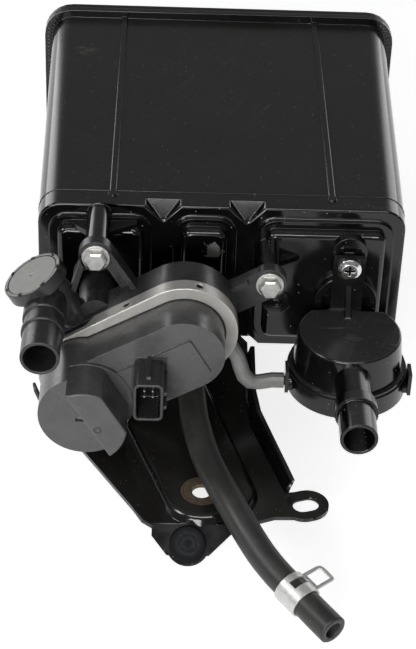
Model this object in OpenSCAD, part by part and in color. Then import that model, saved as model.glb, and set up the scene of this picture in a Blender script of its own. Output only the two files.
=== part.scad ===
// Charcoal canister for a fuel vapour system: a three-chamber carbon case with a
// leak-check pump, a vent filter, a purge hose and a stamped steel bracket.
// Millimetres, +Z up, the ported front end faces -Y. Everything is drawn from the
// middle of the case's front top edge, and then moved so that the bracket's bolt
// hole is the origin.

/* [Case] */
// Width of the case across its front end
case_front_w = 186; // [176:1:200]
// Height of the case at its front end
case_front_h = 85; // [83:1:95]
// Width of the case at its open rear end
case_rear_w = 196; // [188:1:210]
// Height of the case at its open rear end
case_rear_h = 98; // [90:1:110]
// Depth of the case from its front rim to its rear flange
case_depth = 202; // [160:1:260]
// Thickness of the case's walls
case_wall = 2.5; // [2:0.1:3]
// Radius of the case's long edges
case_edge_r = 12; // [8:0.5:16]
// Thickness of the two walls between the chambers
chamber_wall = 2.6; // [2:0.1:3.5]
// Place of the wall between the left and centre chambers
left_wall_x = -30; // [-34:0.5:-26]
// Place of the wall between the centre and right chambers
right_wall_x = 12.5; // [10:0.5:15]
// How far the weld flange stands out round the rear end
flange_lip = 4.7; // [4:0.1:6]
// Thickness of the case's weld flange
flange_t = 4; // [3:0.5:6]
// Thickness of the rear cover
cover_t = 4; // [3:0.5:6]
// Distance of the two top beads from the middle
bead_x = 55.5; // [45:0.5:65]
// Width of a top bead
bead_w = 3; // [2:0.5:5]
// Height of a top bead
bead_h = 1; // [0.6:0.1:1.6]

/* [Front domes] */
// How far a dome's first step stands in from its chamber's outline
step_in = 6; // [5.5:0.1:7]
// How far a dome's face stands in from its chamber's outline
dome_in = 10; // [9:0.5:11]
// How far the first step stands forward
step_y = 2.5; // [2:0.1:3.5]
// How far a dome's face stands forward
dome_y = 8; // [7:0.5:9]
// Radius of a dome's front edge
dome_edge_r = 3; // [1:0.5:4]
// Radius of a dome's corners
dome_corner_r = 9; // [7:0.5:11]
// Width of the notch between two domes
notch_w = 19; // [14:0.5:22]
// Depth of the notch down the front
notch_d = 9.5; // [7:0.5:10]
// How far the notch runs back along the top
notch_back = 7.5; // [5:0.5:9]
// Place of the front pads, behind the domes
pad_y = 10; // [9.5:0.5:14]

/* [Carbon beds] */
// Thickness of a felt pad
pad_t = 5; // [3:0.5:7]
// Thickness of a retainer plate
plate_t = 3; // [2:0.5:4]
// Length of a fitted bed spring
spring_l = 18; // [14:1:24]
// Middle radius of a bed spring
spring_r = 8; // [6:0.5:9]
// Radius of a bed spring's wire
spring_wire_r = 0.8; // [0.6:0.1:1.1]
// Diameter of the holes in a retainer plate
plate_hole_d = 6; // [4:0.5:7]
// Distance between the holes in a retainer plate
plate_hole_step = 13; // [10:0.5:18]
// Clearance round a piece that is laid in a chamber
lay_gap = 0.3; // [0.2:0.05:0.4]
// Clearance between pieces that are stacked
stack_gap = 0.2; // [0.1:0.05:0.3]

/* [Pump] */
// Place of the pump's right end across the case
pump_x = -18; // [-20:0.5:-16]
// Height of the pump's right end below the case's top
pump_z = -37.5; // [-39:0.5:-36]
// Turn of the pump about its own axis
pump_turn = 30; // [28:1:32]
// Distance between the middles of the pump's two round ends
pump_span = 54.5; // [52:0.5:57]
// Distance of the pump's back from the case's front rim
pump_y = 32; // [30:0.5:34]
// Radius of the pump base's round ends
base_r = 26; // [25:0.5:27]
// Depth of the pump base up to the steel band
base_d = 16; // [14:0.5:18]
// Thickness of the pump base's back wall
base_back_t = 3; // [2:0.5:4]
// Width of the rim that carries the gasket
base_rim_w = 2.4; // [2:0.1:2.8]
// Height of the rim that stands inside the band
base_rim_h = 2; // [1.5:0.1:2.5]
// Thickness of the gasket
gasket_t = 1.5; // [1:0.1:2]
// Thickness of the cap's flange
cap_flange_t = 3; // [2:0.1:4]
// Thickness of the steel band
band_t = 1.2; // [0.8:0.1:1.4]
// Radius of the cap's right end
cap_r = 19.8; // [19:0.1:20.5]
// Radius of the motor's end
motor_r = 22.9; // [22:0.1:23.2]
// How far the cap's face stands forward of the band
cap_d = 19.5; // [17:0.5:22]
// How far the motor's end stands forward of the cap's face
motor_d = 13; // [11:0.5:15]
// How far the guard strip stands forward of the motor's end
guard_d = 12; // [9:0.5:14]
// Width of the guard strip
guard_w = 14; // [12:0.5:15]
// How far the guard strip's lower end is drawn in
guard_less = 2.6; // [1:0.1:4]
// Step between the guard strip's round end and the motor's
guard_step = 0.3; // [0.2:0.1:0.6]
// Distance of the guard strip from the motor's middle
guard_u = 3.5; // [2:0.1:4.5]
// Thickness of the cap's walls
cap_wall = 2.4; // [1.8:0.1:3]

/* [Pump connector] */
// Middle of the connector across the case
plug_x = -34.6; // [-36:0.1:-33]
// Middle of the connector below the case's top
plug_z = -49.4; // [-51:0.1:-48]
// Width of the connector's shroud
plug_w = 14.4; // [13:0.1:16]
// Height of the connector's shroud
plug_h = 21.8; // [20:0.1:24]
// How far the connector stands out of the cap's face
plug_d = 21.5; // [18:0.5:25]
// Thickness of the connector's shroud
plug_wall = 1.5; // [1.2:0.1:2]
// Depth of the connector's socket
plug_socket_d = 17; // [14:0.5:17.5]
// Width of a terminal
pin_w = 0.9; // [0.8:0.1:1.2]

/* [Air port] */
// Height of the air nozzle above the pump's middle line
air_v = 42; // [41:0.5:44]
// Half width of the air port's body
air_body_r = 12.4; // [11:0.1:13]
// Radius of the cup at the air port's top
air_cup_r = 15.8; // [15:0.1:17]
// Height of the cup's top above the nozzle
air_cup_v = 14; // [12:0.5:16]
// Depth of the cup's straight wall
air_cup_h = 6.7; // [5:0.1:8]
// Radius of the air nozzle
air_r = 9.5; // [8.5:0.1:10]
// Radius of the air nozzle's bore
air_bore_r = 7.8; // [6:0.1:8]
// How far the air nozzle's mouth lies from the case's front rim
air_y = 92; // [85:1:100]
// Radius of the disc in the cup
disc_r = 13.4; // [12:0.1:13.8]
// Thickness of the disc in the cup
disc_t = 2; // [1.5:0.1:3]

/* [Pump fixing] */
// Place of the left pump boss across the case
boss_left_x = -62; // [-64:0.5:-60]
// Place of the left pump boss below the top
boss_left_z = -6.1; // [-8:0.1:-6]
// Place of the right pump boss across the case
boss_right_x = 23.7; // [22:0.1:25]
// Place of the right pump boss below the top
boss_right_z = -22.5; // [-24:0.1:-21]
// How far the right ear lies behind the left one
right_ear_back = 4; // [3:0.5:5]
// Radius of a pump boss
boss_r = 6; // [5.5:0.1:7]
// Thickness of the pump's ears
ear_t = 6; // [5:0.5:7]
// Radius of the pump's ears
ear_r = 8.5; // [8:0.5:10]
// Diameter of the bolts
bolt_d = 6; // [5:0.5:6.5]
// Diameter of a bolt's flange
bolt_flange_d = 14; // [13:0.5:15]
// Size of a bolt's hexagon across the flats
bolt_flats = 10; // [8:0.5:11]
// Length of a bolt's shank
bolt_l = 18; // [14:1:20]
// Radius of a threaded insert
insert_r = 4.4; // [4:0.1:4.8]
// Length of a threaded insert
insert_l = 14; // [10:1:16]

/* [Ports on the case] */
// Place of the pump's port across the case
pump_port_x = -62; // [-64:0.5:-60]
// Place of the pump's port below the top
pump_port_z = -37; // [-39:0.5:-35]
// Radius of the two round port bores
port_r = 9.3; // [8:0.1:10]
// Wall round a port bore
port_wall = 3.2; // [2.5:0.1:4]
// Radial clearance of a spigot in its port
port_gap = 0.3; // [0.2:0.05:0.4]
// How far the pump's port stands out from the case's front rim
pump_port_y = 20; // [17:0.5:22]
// Radius of a seal ring's section
seal_r = 1.2; // [1:0.1:1.4]
// Place of the purge nipple across the case
purge_x = -14; // [-16:0.5:-12]
// Place of the purge nipple below the top
purge_z = -74; // [-74.5:0.1:-73.8]
// Radius of the purge nipple
purge_r = 3.9; // [3.5:0.1:3.9]
// Radius of the purge nipple's bore
purge_bore_r = 2.6; // [2:0.1:2.8]

/* [Vent filter] */
// Place of the vent filter across the case
vent_x = 65.5; // [64:0.5:67]
// Distance of the vent filter's middle from the front rim
vent_y = 34.5; // [33:0.5:36]
// Height of the vent filter's top below the case's top
vent_top_z = -50; // [-52:0.5:-48]
// Radius of the vent housing at its top
vent_r = 26; // [24:0.5:27]
// Radius of the vent housing at its rim
vent_rim_r = 28.2; // [27.5:0.1:29]
// Height of the vent housing
vent_h = 23; // [22.5:0.1:24]
// Thickness of the vent housing's walls
vent_wall = 2.2; // [1.8:0.1:3]
// Radius of the vent's lower cover
vent_cover_r = 30.5; // [30:0.1:32]
// Height of the vent's lower cover
vent_cover_h = 11; // [9:0.5:13]
// Overlap of the cover over the housing's rim
vent_lap = 2; // [1.5:0.1:3]
// Distance of the vent housing's flat back from the front rim
vent_back_y = 16; // [15.5:0.1:17]
// Radius of the vent nozzle
vent_port_r = 9.2; // [8:0.1:9.3]
// Radius of the vent nozzle's bore
vent_bore_r = 7.4; // [6:0.1:7.6]
// Height of the vent nozzle below the vent filter's top
vent_port_drop = 11.5; // [11:0.1:11.6]
// Distance of the vent nozzle's mouth from the front rim
vent_mouth_y = 106; // [98:1:115]
// How far the vent nozzle is set to the right
vent_port_dx = 0.8; // [0:0.1:1.2]
// Place of the vent's fixing tab across the case
tab_x = 64.4; // [63.5:0.1:65.5]
// Width of the vent's fixing tab
tab_w = 16; // [14:0.5:18]
// Thickness of the vent's fixing tab
tab_t = 3; // [2.5:0.1:3]
// Height of the vent screw below the case's top
tab_screw_z = -24; // [-26:0.5:-22]
// How far the tab stands above its screw
tab_rise = 5.6; // [4:0.1:6.5]
// Radius of the case's tower behind the tab
tower_r = 8.8; // [8:0.1:10]
// How far the tower's middle lies above the screw
tower_rise = 6.7; // [5:0.1:8]
// Diameter of the vent screw's head
screw_head_d = 12; // [10:0.5:13]
// Diameter of the vent screw's shank
screw_d = 4.6; // [4:0.1:5]

/* [Bracket] */
// Height of the bracket's border below the case's top
bracket_z = -93; // [-95:0.5:-92]
// Thickness of the bracket's steel
steel_t = 2.2; // [1.8:0.1:2.6]
// How far the bracket's raised panel stands up
panel_h = 4.5; // [3.5:0.1:4.7]
// Place of the bracket's bolt hole across the case
hole_x = -8; // [-10:0.5:-6]
// Distance of the bracket's bolt hole from the front rim
hole_y = 114.5; // [110:0.5:119]
// Diameter of the bracket's bolt hole
hole_d = 9; // [8:0.1:10]
// Length of the bracket's slot
slot_l = 12.5; // [11:0.5:15]
// Width of the bracket's slot
slot_w = 9; // [8:0.1:10]
// Turn of the bracket's slot
slot_turn = 18; // [10:1:25]
// Height of the bracket's side wall
side_h = 8; // [6:0.5:8]
// Bend of the bracket's front lip below level
lip_bend = 45; // [40:1:50]
// Length of the bracket's front lip
lip_l = 19; // [17:0.5:21]
// Radius of the rubber bumper
bumper_r = 8.8; // [8:0.1:9.5]
// Thickness of the rubber bumper's head
bumper_t = 3.2; // [2.5:0.1:4]

/* [Hoses] */
// Outside radius of the purge hose
hose_r = 7; // [6.5:0.1:7]
// Bore radius of the purge hose
hose_bore_r = 4.1; // [4.1:0.1:4.5]
// Width of the hose clamp's band
clamp_w = 13; // [10:0.5:15]
// Thickness of the hose clamp's band
clamp_t = 1; // [0.8:0.1:1.2]
// Outside radius of the link hose
link_r = 4; // [3.5:0.1:4.2]
// Bore radius of the link hose
link_bore_r = 2.6; // [2.6:0.1:2.8]
// Radius of the two nipples that carry the link hose
link_nipple_r = 2.4; // [2:0.1:2.4]

/* [Hidden] */
$fn = 64;

// Facets on a quarter turn of a lofted or outlined corner
corner_n = 6;
// Small overlap that lets joined shapes share volume
eps = 0.5;

black_plastic = [0.09, 0.09, 0.10];
grey_plastic = [0.26, 0.26, 0.27];
steel = [0.70, 0.69, 0.66];
zinc = [0.78, 0.78, 0.76];
painted_steel = [0.07, 0.07, 0.08];
rubber = [0.20, 0.20, 0.21];
felt = [0.80, 0.78, 0.72];
carbon = [0.12, 0.12, 0.12];
brass = [0.72, 0.58, 0.30];

// Purge hose route from the nipple's collar to the free end
purge_root = 10.5;
purge_end = 33;
hose_route = [
    [purge_x, -purge_root, purge_z], [purge_x, -22, purge_z], [purge_x, -34, purge_z], [-14, -47, -74.6],
    [-13, -60, -75.8], [-12, -72, -77], [-9.8, -84, -78.4], [-6.8, -97, -79.6],
    [-3.2, -109, -80.2], [1, -121, -80.4], [5.5, -131, -81.4], [10, -140, -83.8],
    [14.8, -148.5, -86.8], [20, -156.5, -90], [26, -164.5, -92.6], [32.5, -172.5, -94.5],
    [39, -180.5, -96], [45.5, -189, -97], [51.5, -197, -97.6]
];
// Clamp's place, as a stretch of the hose route
clamp_from = hose_route[15];
clamp_to = hose_route[16];

// Link hose route, straight over the pump's nipple and over the vent cover's nipple
link_nipple_l = 6;
link_turn = -40;
link_y = pump_y + base_d / 2;
link_way = [cos(link_turn), 0, sin(link_turn)];
link_start = [pump_x, -link_y, pump_z] + (base_r + 1) * link_way;
vent_nipple_y = 43.5;
vent_nipple_z = -75;
clip_x = vent_cover_r + 0.5;
clip_t = 1.8;
link_end = [vent_x - clip_x - clip_t / 2 - 0.4, -vent_nipple_y, vent_nipple_z];
link_route = concat(
    [link_start, link_start + 5 * link_way],
    [[9.4, -41.6, -62.5], [11, -43.6, -67], [12.8, -45.2, -71.4], [16, -45.6, -74.6],
    [20.5, -44.6, -75.6]],
    [link_end - [6, 0, 0], link_end]);

// Sizes that follow from the ones above
panel_z = bracket_z + panel_h;
rear_y = case_depth + flange_t;
plate_y = rear_y - spring_l - plate_t - stack_gap;
rear_pad_y = plate_y - pad_t - stack_gap;
bed_y = pad_y + pad_t + 2 * stack_gap;
rim_y = pump_y + base_d;
gasket_y = rim_y + base_rim_h;
cap_y = gasket_y + gasket_t;
band_y = cap_y + cap_flange_t + band_t + 2 * stack_gap;
band_r = base_r + 0.4;
cap_face_y = band_y + cap_d;
motor_y = cap_face_y + motor_d;
plug_y = cap_face_y + plug_d;
arch_r = port_r + port_wall + 3.5;
vent_port_z = vent_top_z - vent_port_drop;
tab_y = vent_back_y - tab_t;
vent_rim_z = vent_top_z - vent_h;
vent_cover_z = vent_rim_z + vent_lap;
lip_y = 134.5;
lip_round = 10.5;
bumper_x = -14.2;
slot_x = 42.3;
slot_y = 117.3;
side_path = [[14.5, -2], [14.5, -40], [16.5, -56], [31.5, -109]];
shelf_d = 2;
end_less = 1.6;
air_u = 0.8 - pump_span;
gusset_t = 3;
gate_x = 29.2;
gate_z = -51.2;
gate_r = 7.3;
gate_h = 1.2;
socket_r = 16;
socket_wall = 1.8;
filter_h = 9;
bolt_places = [
    [boss_left_x, boss_left_z, pump_y],
    [boss_right_x, boss_right_z, pump_y - right_ear_back]];
bearing_r = 7;
lug_y = -14;
lug_r = 8;
lug_x = [-56, 0];

function mix_to(a, b, t) = a + (b - a) * t;
function half_w(y) = mix_to(case_front_w, case_rear_w, y / case_depth) / 2;
function low_z(y) = -mix_to(case_front_h, case_rear_h, y / case_depth);
function unit(v) = v / norm(v);

// Rounded rectangle in XZ at depth y: [y, x low, x high, z low, z high, corner radius]
function corner(x, z, y, r, turn) =
    [for (k = [0:corner_n]) let (a = turn + 90 * k / corner_n) [x + r * cos(a), y, z + r * sin(a)]];
function outline(s) = concat(
    corner(s[2] - s[5], s[4] - s[5], s[0], s[5], 0), corner(s[1] + s[5], s[4] - s[5], s[0], s[5], 90),
    corner(s[1] + s[5], s[3] + s[5], s[0], s[5], 180), corner(s[2] - s[5], s[3] + s[5], s[0], s[5], 270));

// Chamber number c from 0 at the left to 2 at the right, drawn in by t at depth y
function chamber_low(c, y, t) =
    c == 0 ? -half_w(y) + t : (c == 1 ? left_wall_x : right_wall_x) + t;
function chamber_high(c, y, t) =
    c == 2 ? half_w(y) - t : (c == 0 ? left_wall_x : right_wall_x) - t;
function chamber(c, y, t, r) = [y, chamber_low(c, y, t), chamber_high(c, y, t), low_z(y) + t, -t, r];

// Inside of a chamber: the outer wall is thick, and each chamber wall is shared
function room_low(c, y, t) =
    c == 0 ? -half_w(y) + case_wall + t : (c == 1 ? left_wall_x : right_wall_x) + chamber_wall / 2 + t;
function room_high(c, y, t) =
    c == 2 ? half_w(y) - case_wall - t : (c == 0 ? left_wall_x : right_wall_x) - chamber_wall / 2 - t;
function room_r(c) = c == 1 ? 3 : case_edge_r - case_wall;
function room(c, y, t) =
    [y, room_low(c, y, t), room_high(c, y, t), low_z(y) + case_wall + t, -case_wall - t, room_r(c) - t];
function room_mid(c, y) = (room_low(c, y, 0) + room_high(c, y, 0)) / 2;

// Outline of two round ends joined by tangents, the left one d away along -X
function pill(r_right, r_left, d) =
    let (a = acos((r_right - r_left) / d), n = 4 * corner_n)
    concat(
        [for (k = [0:n]) let (b = mix_to(-a, a, k / n)) r_right * [cos(b), sin(b)]],
        [for (k = [0:n]) let (b = mix_to(a, 360 - a, k / n)) [-d, 0] + r_left * [cos(b), sin(b)]]);

// Direction of a route at its point i, and a ring of n points round it
function heading(p, i) = unit(p[min(i + 1, len(p) - 1)] - p[max(i - 1, 0)]);
function ring(c, t, up, r, n) =
    let (s = unit(cross(t, up)), w = cross(s, t))
    [for (k = [0:n - 1]) c + r * (cos(360 * k / n) * s + sin(360 * k / n) * w)];

// Solid through rounded rectangles, from low y to high y
module loft(sections) {
    n = 4 * (corner_n + 1);
    last = len(sections) - 1;
    points = [for (s = sections) each outline(s)];
    sides = [for (i = [0:last - 1], k = [0:n - 1])
        let (a = i * n + k, b = i * n + (k + 1) % n)
        each [[a, b, b + n], [a, b + n, a + n]]];
    polyhedron(points, concat(
        [[for (k = [n - 1:-1:0]) k]], sides, [[for (k = [0:n - 1]) last * n + k]]), convexity = 6);
}

// Hollow tube along a route of points
module tube(route, r, bore_r, up, n) {
    last = len(route) - 1;
    points = [for (i = [0:last]) each concat(
        ring(route[i], heading(route, i), up, r, n), ring(route[i], heading(route, i), up, bore_r, n))];
    sides = [for (i = [0:last - 1], k = [0:n - 1])
        let (a = 2 * n * i + k, b = 2 * n * i + (k + 1) % n, m = 2 * n)
        each [[a, b, b + m], [a, b + m, a + m], [a + n, b + m + n, b + n],
            [a + n, a + m + n, b + m + n]]];
    end = 2 * n * last;
    ends = [for (k = [0:n - 1])
        let (b = (k + 1) % n)
        each [[b, k, k + n], [b, k + n, b + n],
              [end + k, end + b, end + b + n], [end + k, end + b + n, end + k + n]]];
    polyhedron(points, concat(sides, ends), convexity = 8);
}

// Solid rod along a route of points
module rod(route, r, up, n) {
    last = len(route) - 1;
    points = [for (i = [0:last]) each ring(route[i], heading(route, i), up, r, n)];
    sides = [for (i = [0:last - 1], k = [0:n - 1])
        let (a = n * i + k, b = n * i + (k + 1) % n)
        each [[a, b, b + n], [a, b + n, a + n]]];
    polyhedron(points, concat(
        [[for (k = [n - 1:-1:0]) k]], sides, [[for (k = [0:n - 1]) last * n + k]]), convexity = 8);
}

// Everything is moved so that the bracket's bolt hole is the origin
module placed() {
    translate([-hole_x, hole_y, -panel_z]) children();
}

// A flat outline in XZ, from y_back towards the viewer
module along_y(y_back, depth) {
    translate([0, -y_back, 0]) rotate([90, 0, 0]) linear_extrude(depth) children();
}

// A round bar along -Y, from y_back towards the viewer
module bar_y(x, z, r, y_back, depth) {
    translate([x, -y_back, z]) rotate([90, 0, 0]) cylinder(r = r, h = depth);
}

// The pump's own frame: X along its two ends, Z across them
module pump_frame() {
    translate([pump_x, 0, pump_z]) rotate([0, -pump_turn, 0]) children();
}

// Inverse of the pump's frame for a point in the case's XZ plane
function pump_local(x, z) = [
    (x - pump_x) * cos(pump_turn) + (z - pump_z) * sin(pump_turn),
    (z - pump_z) * cos(pump_turn) - (x - pump_x) * sin(pump_turn)];

module rounded_box_2d(w, h, r) {
    square([w - 2 * r, h], center = true);
    square([w, h - 2 * r], center = true);
    for (x = [-1, 1], y = [-1, 1])
        translate([x * (w / 2 - r), y * (h / 2 - r)]) circle(r);
}

// One dome: two steps and a rounded front edge
module dome(c) {
    fillet = [for (k = [0:4]) let (a = 90 * k / 4)
        chamber(c, 0, dome_in + dome_edge_r * (1 - sin(a)),
            dome_corner_r - 4 - dome_edge_r * (1 - sin(a)))];
    front = [for (k = [0:4]) let (a = 90 * k / 4, f = fillet[k])
        [-dome_y + dome_edge_r * (1 - cos(a)), f[1], f[2], f[3], f[4], f[5]]];
    foot = chamber(c, 0, dome_in, dome_corner_r - 4);
    step = chamber(c, 0, step_in, dome_corner_r);
    loft(concat(front, [
        [-step_y, foot[1], foot[2], foot[3], foot[4], foot[5]],
        [-step_y, step[1], step[2], step[3], step[4], step[5]],
        [eps, step[1], step[2], step[3], step[4], step[5]]]));
}

// Hollow of one chamber, from behind its dome to the open rear end
module chamber_hollow(c) {
    nose = chamber(c, 0, dome_in + case_wall, dome_corner_r - 4 - case_wall / 2);
    neck = chamber(c, 0, step_in + case_wall, dome_corner_r - case_wall);
    mouth = room(c, rear_y + eps, 0);
    throat = room(c, pad_y, 0);
    loft([
        [-dome_y + case_wall, nose[1], nose[2], nose[3], nose[4], nose[5]],
        [0, nose[1], nose[2], nose[3], nose[4], nose[5]],
        [0, neck[1], neck[2], neck[3], neck[4], neck[5]],
        [pad_y, neck[1], neck[2], neck[3], neck[4], neck[5]],
        throat, mouth]);
}

// Ramp cut between two domes, at the top edge
module notch(x) {
    polyhedron([
        [x - notch_w / 2, notch_back, eps], [x + notch_w / 2, notch_back, eps],
        [x + notch_w / 2, -eps, eps], [x - notch_w / 2, -eps, eps], [x, -eps, -notch_d]],
        [[0, 1, 2, 3], [3, 2, 4], [2, 1, 4], [1, 0, 4], [0, 3, 4]]);
}

// Flat gusset beside a boss, in the XY plane, with its reach to the left and to the right
module boss_gusset(x, z, y_root, left, right, lip, run) {
    translate([x, 0, z - gusset_t / 2]) linear_extrude(gusset_t) polygon([
        [-left, -y_root], [right, -y_root], [right, -y_root - lip],
        [boss_r - 1, -y_root - run], [1 - boss_r, -y_root - run], [-left, -y_root - lip]]);
}

// Upright rib from the dome's top edge to the right boss
module boss_rib() {
    t = 1.6;
    run = 7.5;
    translate([boss_right_x + t / 2, 0, 0]) rotate([90, 0, 90]) linear_extrude(t) polygon([
        [-dome_y + dome_edge_r, -dome_in - 0.6], [-dome_y + dome_edge_r, boss_right_z],
        [-dome_y - run, boss_right_z], [-dome_y - run, boss_right_z + boss_r - 0.6]]);
}

// Round moulded gate on the right dome, with a ring in its middle
module gate() {
    bar_y(gate_x, gate_z, gate_r, dome_y - eps, gate_h + eps);
    difference() {
        bar_y(gate_x, gate_z, gate_r / 3 + 0.2, dome_y, gate_h + 1);
        bar_y(gate_x, gate_z, gate_r / 3 - 0.8, dome_y + gate_h, 1 + eps);
    }
}

// Tower that takes the vent screw: round at the top, with a recess and a window above the tab
module vent_tower() {
    front = tab_y - stack_gap;
    window_w = 5.5;
    recess = 1.2;
    difference() {
        union() {
            bar_y(tab_x, tab_screw_z + tower_rise, tower_r, dome_y - eps, front - dome_y + eps);
            bar_y(tab_x, tab_screw_z, tab_w / 2 - 0.6, dome_y - eps, front - dome_y + eps);
            along_y(dome_y - eps, front - dome_y + eps) translate([tab_x - tab_w / 2 + 1, tab_screw_z])
                square([tab_w - 2, tower_rise]);
        }
        bar_y(tab_x, tab_screw_z + tower_rise, tower_r - 2.8, front - recess, recess + eps);
        along_y(dome_y + recess, front - dome_y)
            translate([tab_x - window_w / 2, tab_screw_z + tab_rise - 1])
            square([window_w, 4]);
    }
}

// Arch round the vent's port, open in its front
module vent_arch() {
    front = tab_y - stack_gap;
    recess = 2.8;
    wall = 3.8;
    difference() {
        hull() for (z = [vent_top_z + 2, vent_port_z])
            bar_y(tab_x, z, arch_r, dome_y - eps, front - dome_y + eps);
        hull() for (z = [vent_top_z + 2, vent_port_z])
            bar_y(tab_x, z, arch_r - wall, front - recess, recess + eps);
    }
}

module case() {
    color(black_plastic) placed() {
        difference() {
            union() {
                loft([
                    [0, -half_w(0), half_w(0), low_z(0), 0, case_edge_r],
                    [case_depth + eps, -half_w(case_depth), half_w(case_depth), low_z(case_depth),
                    0, case_edge_r]]);
                loft([for (y = [case_depth, rear_y]) [
                    y, -half_w(case_depth) - flange_lip, half_w(case_depth) + flange_lip,
                    low_z(case_depth) - flange_lip, flange_lip, case_edge_r + flange_lip]]);
                for (c = [0:2]) dome(c);
                for (x = [-bead_x, bead_x]) {
                    translate([x - bead_w / 2, notch_back + 2, -eps])
                        cube([bead_w, case_depth - notch_back, bead_h + eps]);
                    translate([x, notch_back + 2, -eps]) cylinder(d = bead_w + 1.4, h = bead_h + eps);
                }
                bar_y(boss_left_x, boss_left_z, boss_r, -eps, pump_y + eps);
                boss_gusset(boss_left_x, boss_left_z - 3.4, step_y - eps, 14, 19, 3, 11);
                bar_y(boss_right_x, boss_right_z, boss_r, 0, pump_y - right_ear_back);
                boss_gusset(boss_right_x, boss_right_z - 1.2, dome_y - eps, boss_r - 1, 15.5, 0.8, 7.5);
                boss_rib();
                gate();
                bar_y(pump_port_x, pump_port_z, port_r + port_wall, dome_y - eps,
                    pump_port_y - dome_y + eps);
                vent_tower();
                vent_arch();
                bar_y(purge_x, purge_z, hose_r + 0.8, -eps, purge_root - stack_gap + eps);
                for (x = lug_x) translate([x, -lug_y, bracket_z])
                    cylinder(r = lug_r, h = -bracket_z + low_z(0));
            }
            for (c = [0:2]) chamber_hollow(c);
            for (x = [left_wall_x, right_wall_x]) {
                notch(x);
                translate([0, 0, low_z(0)]) mirror([0, 0, 1]) notch(x);
            }
            for (p = bolt_places) bar_y(p[0], p[1], insert_r, p[2] - bolt_l, bolt_l + eps);
            bar_y(pump_port_x, pump_port_z, port_r, 0, pump_port_y + eps);
            bar_y(vent_x, vent_port_z, port_r, 0, vent_back_y);
            bar_y(purge_x, purge_z, purge_bore_r, -pad_y / 2, purge_end);
            bar_y(tab_x, tab_screw_z, screw_d / 2, -1, vent_back_y);
            for (x = lug_x) translate([x, -lug_y, bracket_z - eps])
                cylinder(r = insert_r, h = 6 + eps);
        }
        difference() {
            union() {
                bar_y(purge_x, purge_z, purge_r, purge_root - 1, purge_end - purge_root + 1);
                bar_y(tab_x, tab_screw_z, tab_w / 2 - 3.5, -pad_y / 2, dome_y + pad_y / 2);
            }
            bar_y(purge_x, purge_z, purge_bore_r, purge_root - 2, purge_end);
            bar_y(tab_x, tab_screw_z, screw_d / 2, -1, vent_back_y);
        }
    }
}

module rear_cover() {
    stud_h = 5;
    color(black_plastic) placed() {
        loft([for (y = [rear_y, rear_y + cover_t]) [
            y, -half_w(case_depth) - flange_lip, half_w(case_depth) + flange_lip,
            low_z(case_depth) - flange_lip, flange_lip, case_edge_r + flange_lip]]);
        loft([for (y = [rear_y + cover_t - eps, rear_y + cover_t + 3]) [
            y, -half_w(case_depth) + 8, half_w(case_depth) - 8,
            low_z(case_depth) + 8, -8, case_edge_r]]);
        for (c = [0:2], p = spring_places(c))
            bar_y(p[0], p[1], spring_r - spring_wire_r - lay_gap, -rear_y - eps, stud_h + eps);
    }
}

function spring_count(c) = c == 1 ? 1 : 2;
function spring_places(c) = [for (k = [1:spring_count(c)]) [
    mix_to(room_low(c, rear_y, 0), room_high(c, rear_y, 0), k / (spring_count(c) + 1)),
    low_z(case_depth) / 2]];

// A slab that fills a chamber from y_low to y_high, with lay_gap all round
module slab(c, y_low, y_high) {
    loft([room(c, y_low, lay_gap), room(c, y_high, lay_gap)]);
}

module carbon_bed(c) {
    color(carbon) placed() slab(c, bed_y, rear_pad_y - stack_gap);
}

module front_pad(c) {
    color(felt) placed() slab(c, pad_y + stack_gap, pad_y + stack_gap + pad_t);
}

module rear_pad(c) {
    color(felt) placed() slab(c, rear_pad_y, rear_pad_y + pad_t);
}

module retainer_plate(c) {
    w = room_high(c, plate_y, 0) - room_low(c, plate_y, 0) - 14;
    h = -low_z(plate_y) - 2 * case_wall - 14;
    nx = floor(w / plate_hole_step);
    nz = floor(h / plate_hole_step);
    color(grey_plastic) placed() difference() {
        slab(c, plate_y, plate_y + plate_t);
        for (i = [0:nx], k = [0:nz])
            bar_y(room_mid(c, plate_y) + (i - nx / 2) * plate_hole_step,
                  low_z(plate_y) / 2 + (k - nz / 2) * plate_hole_step, plate_hole_d / 2,
                  -plate_y - plate_t - eps,
                  plate_t + 2 * eps);
    }
}

// Compression springs between a retainer plate and the rear cover
module bed_springs(c) {
    turns = 4;
    steps = 12;
    length = spring_l - 2 * spring_wire_r - 2 * stack_gap;
    first_y = plate_y + plate_t + stack_gap + spring_wire_r;
    color(steel) placed() for (p = spring_places(c))
        rod([for (k = [0:turns * steps]) let (a = 360 * k / steps) [
            p[0] + spring_r * cos(a), first_y + length * k / (turns * steps), p[1] + spring_r * sin(a)]],
            spring_wire_r, [0, 1, 0], 6);
}

module insert_shape(l) {
    difference() {
        cylinder(r = insert_r, h = l);
        translate([0, 0, -eps]) cylinder(d = bolt_d + 0.1, h = l + 2 * eps);
    }
}

module boss_inserts() {
    color(brass) placed() {
        for (p = bolt_places)
            translate([p[0], -p[2] + insert_l, p[1]]) rotate([90, 0, 0]) insert_shape(insert_l);
        for (x = lug_x) translate([x, -lug_y, bracket_z]) insert_shape(6);
    }
}

module pump_pill(r, y_back, depth) {
    along_y(y_back, depth) polygon(pill(r, r - end_less, pump_span));
}

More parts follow.
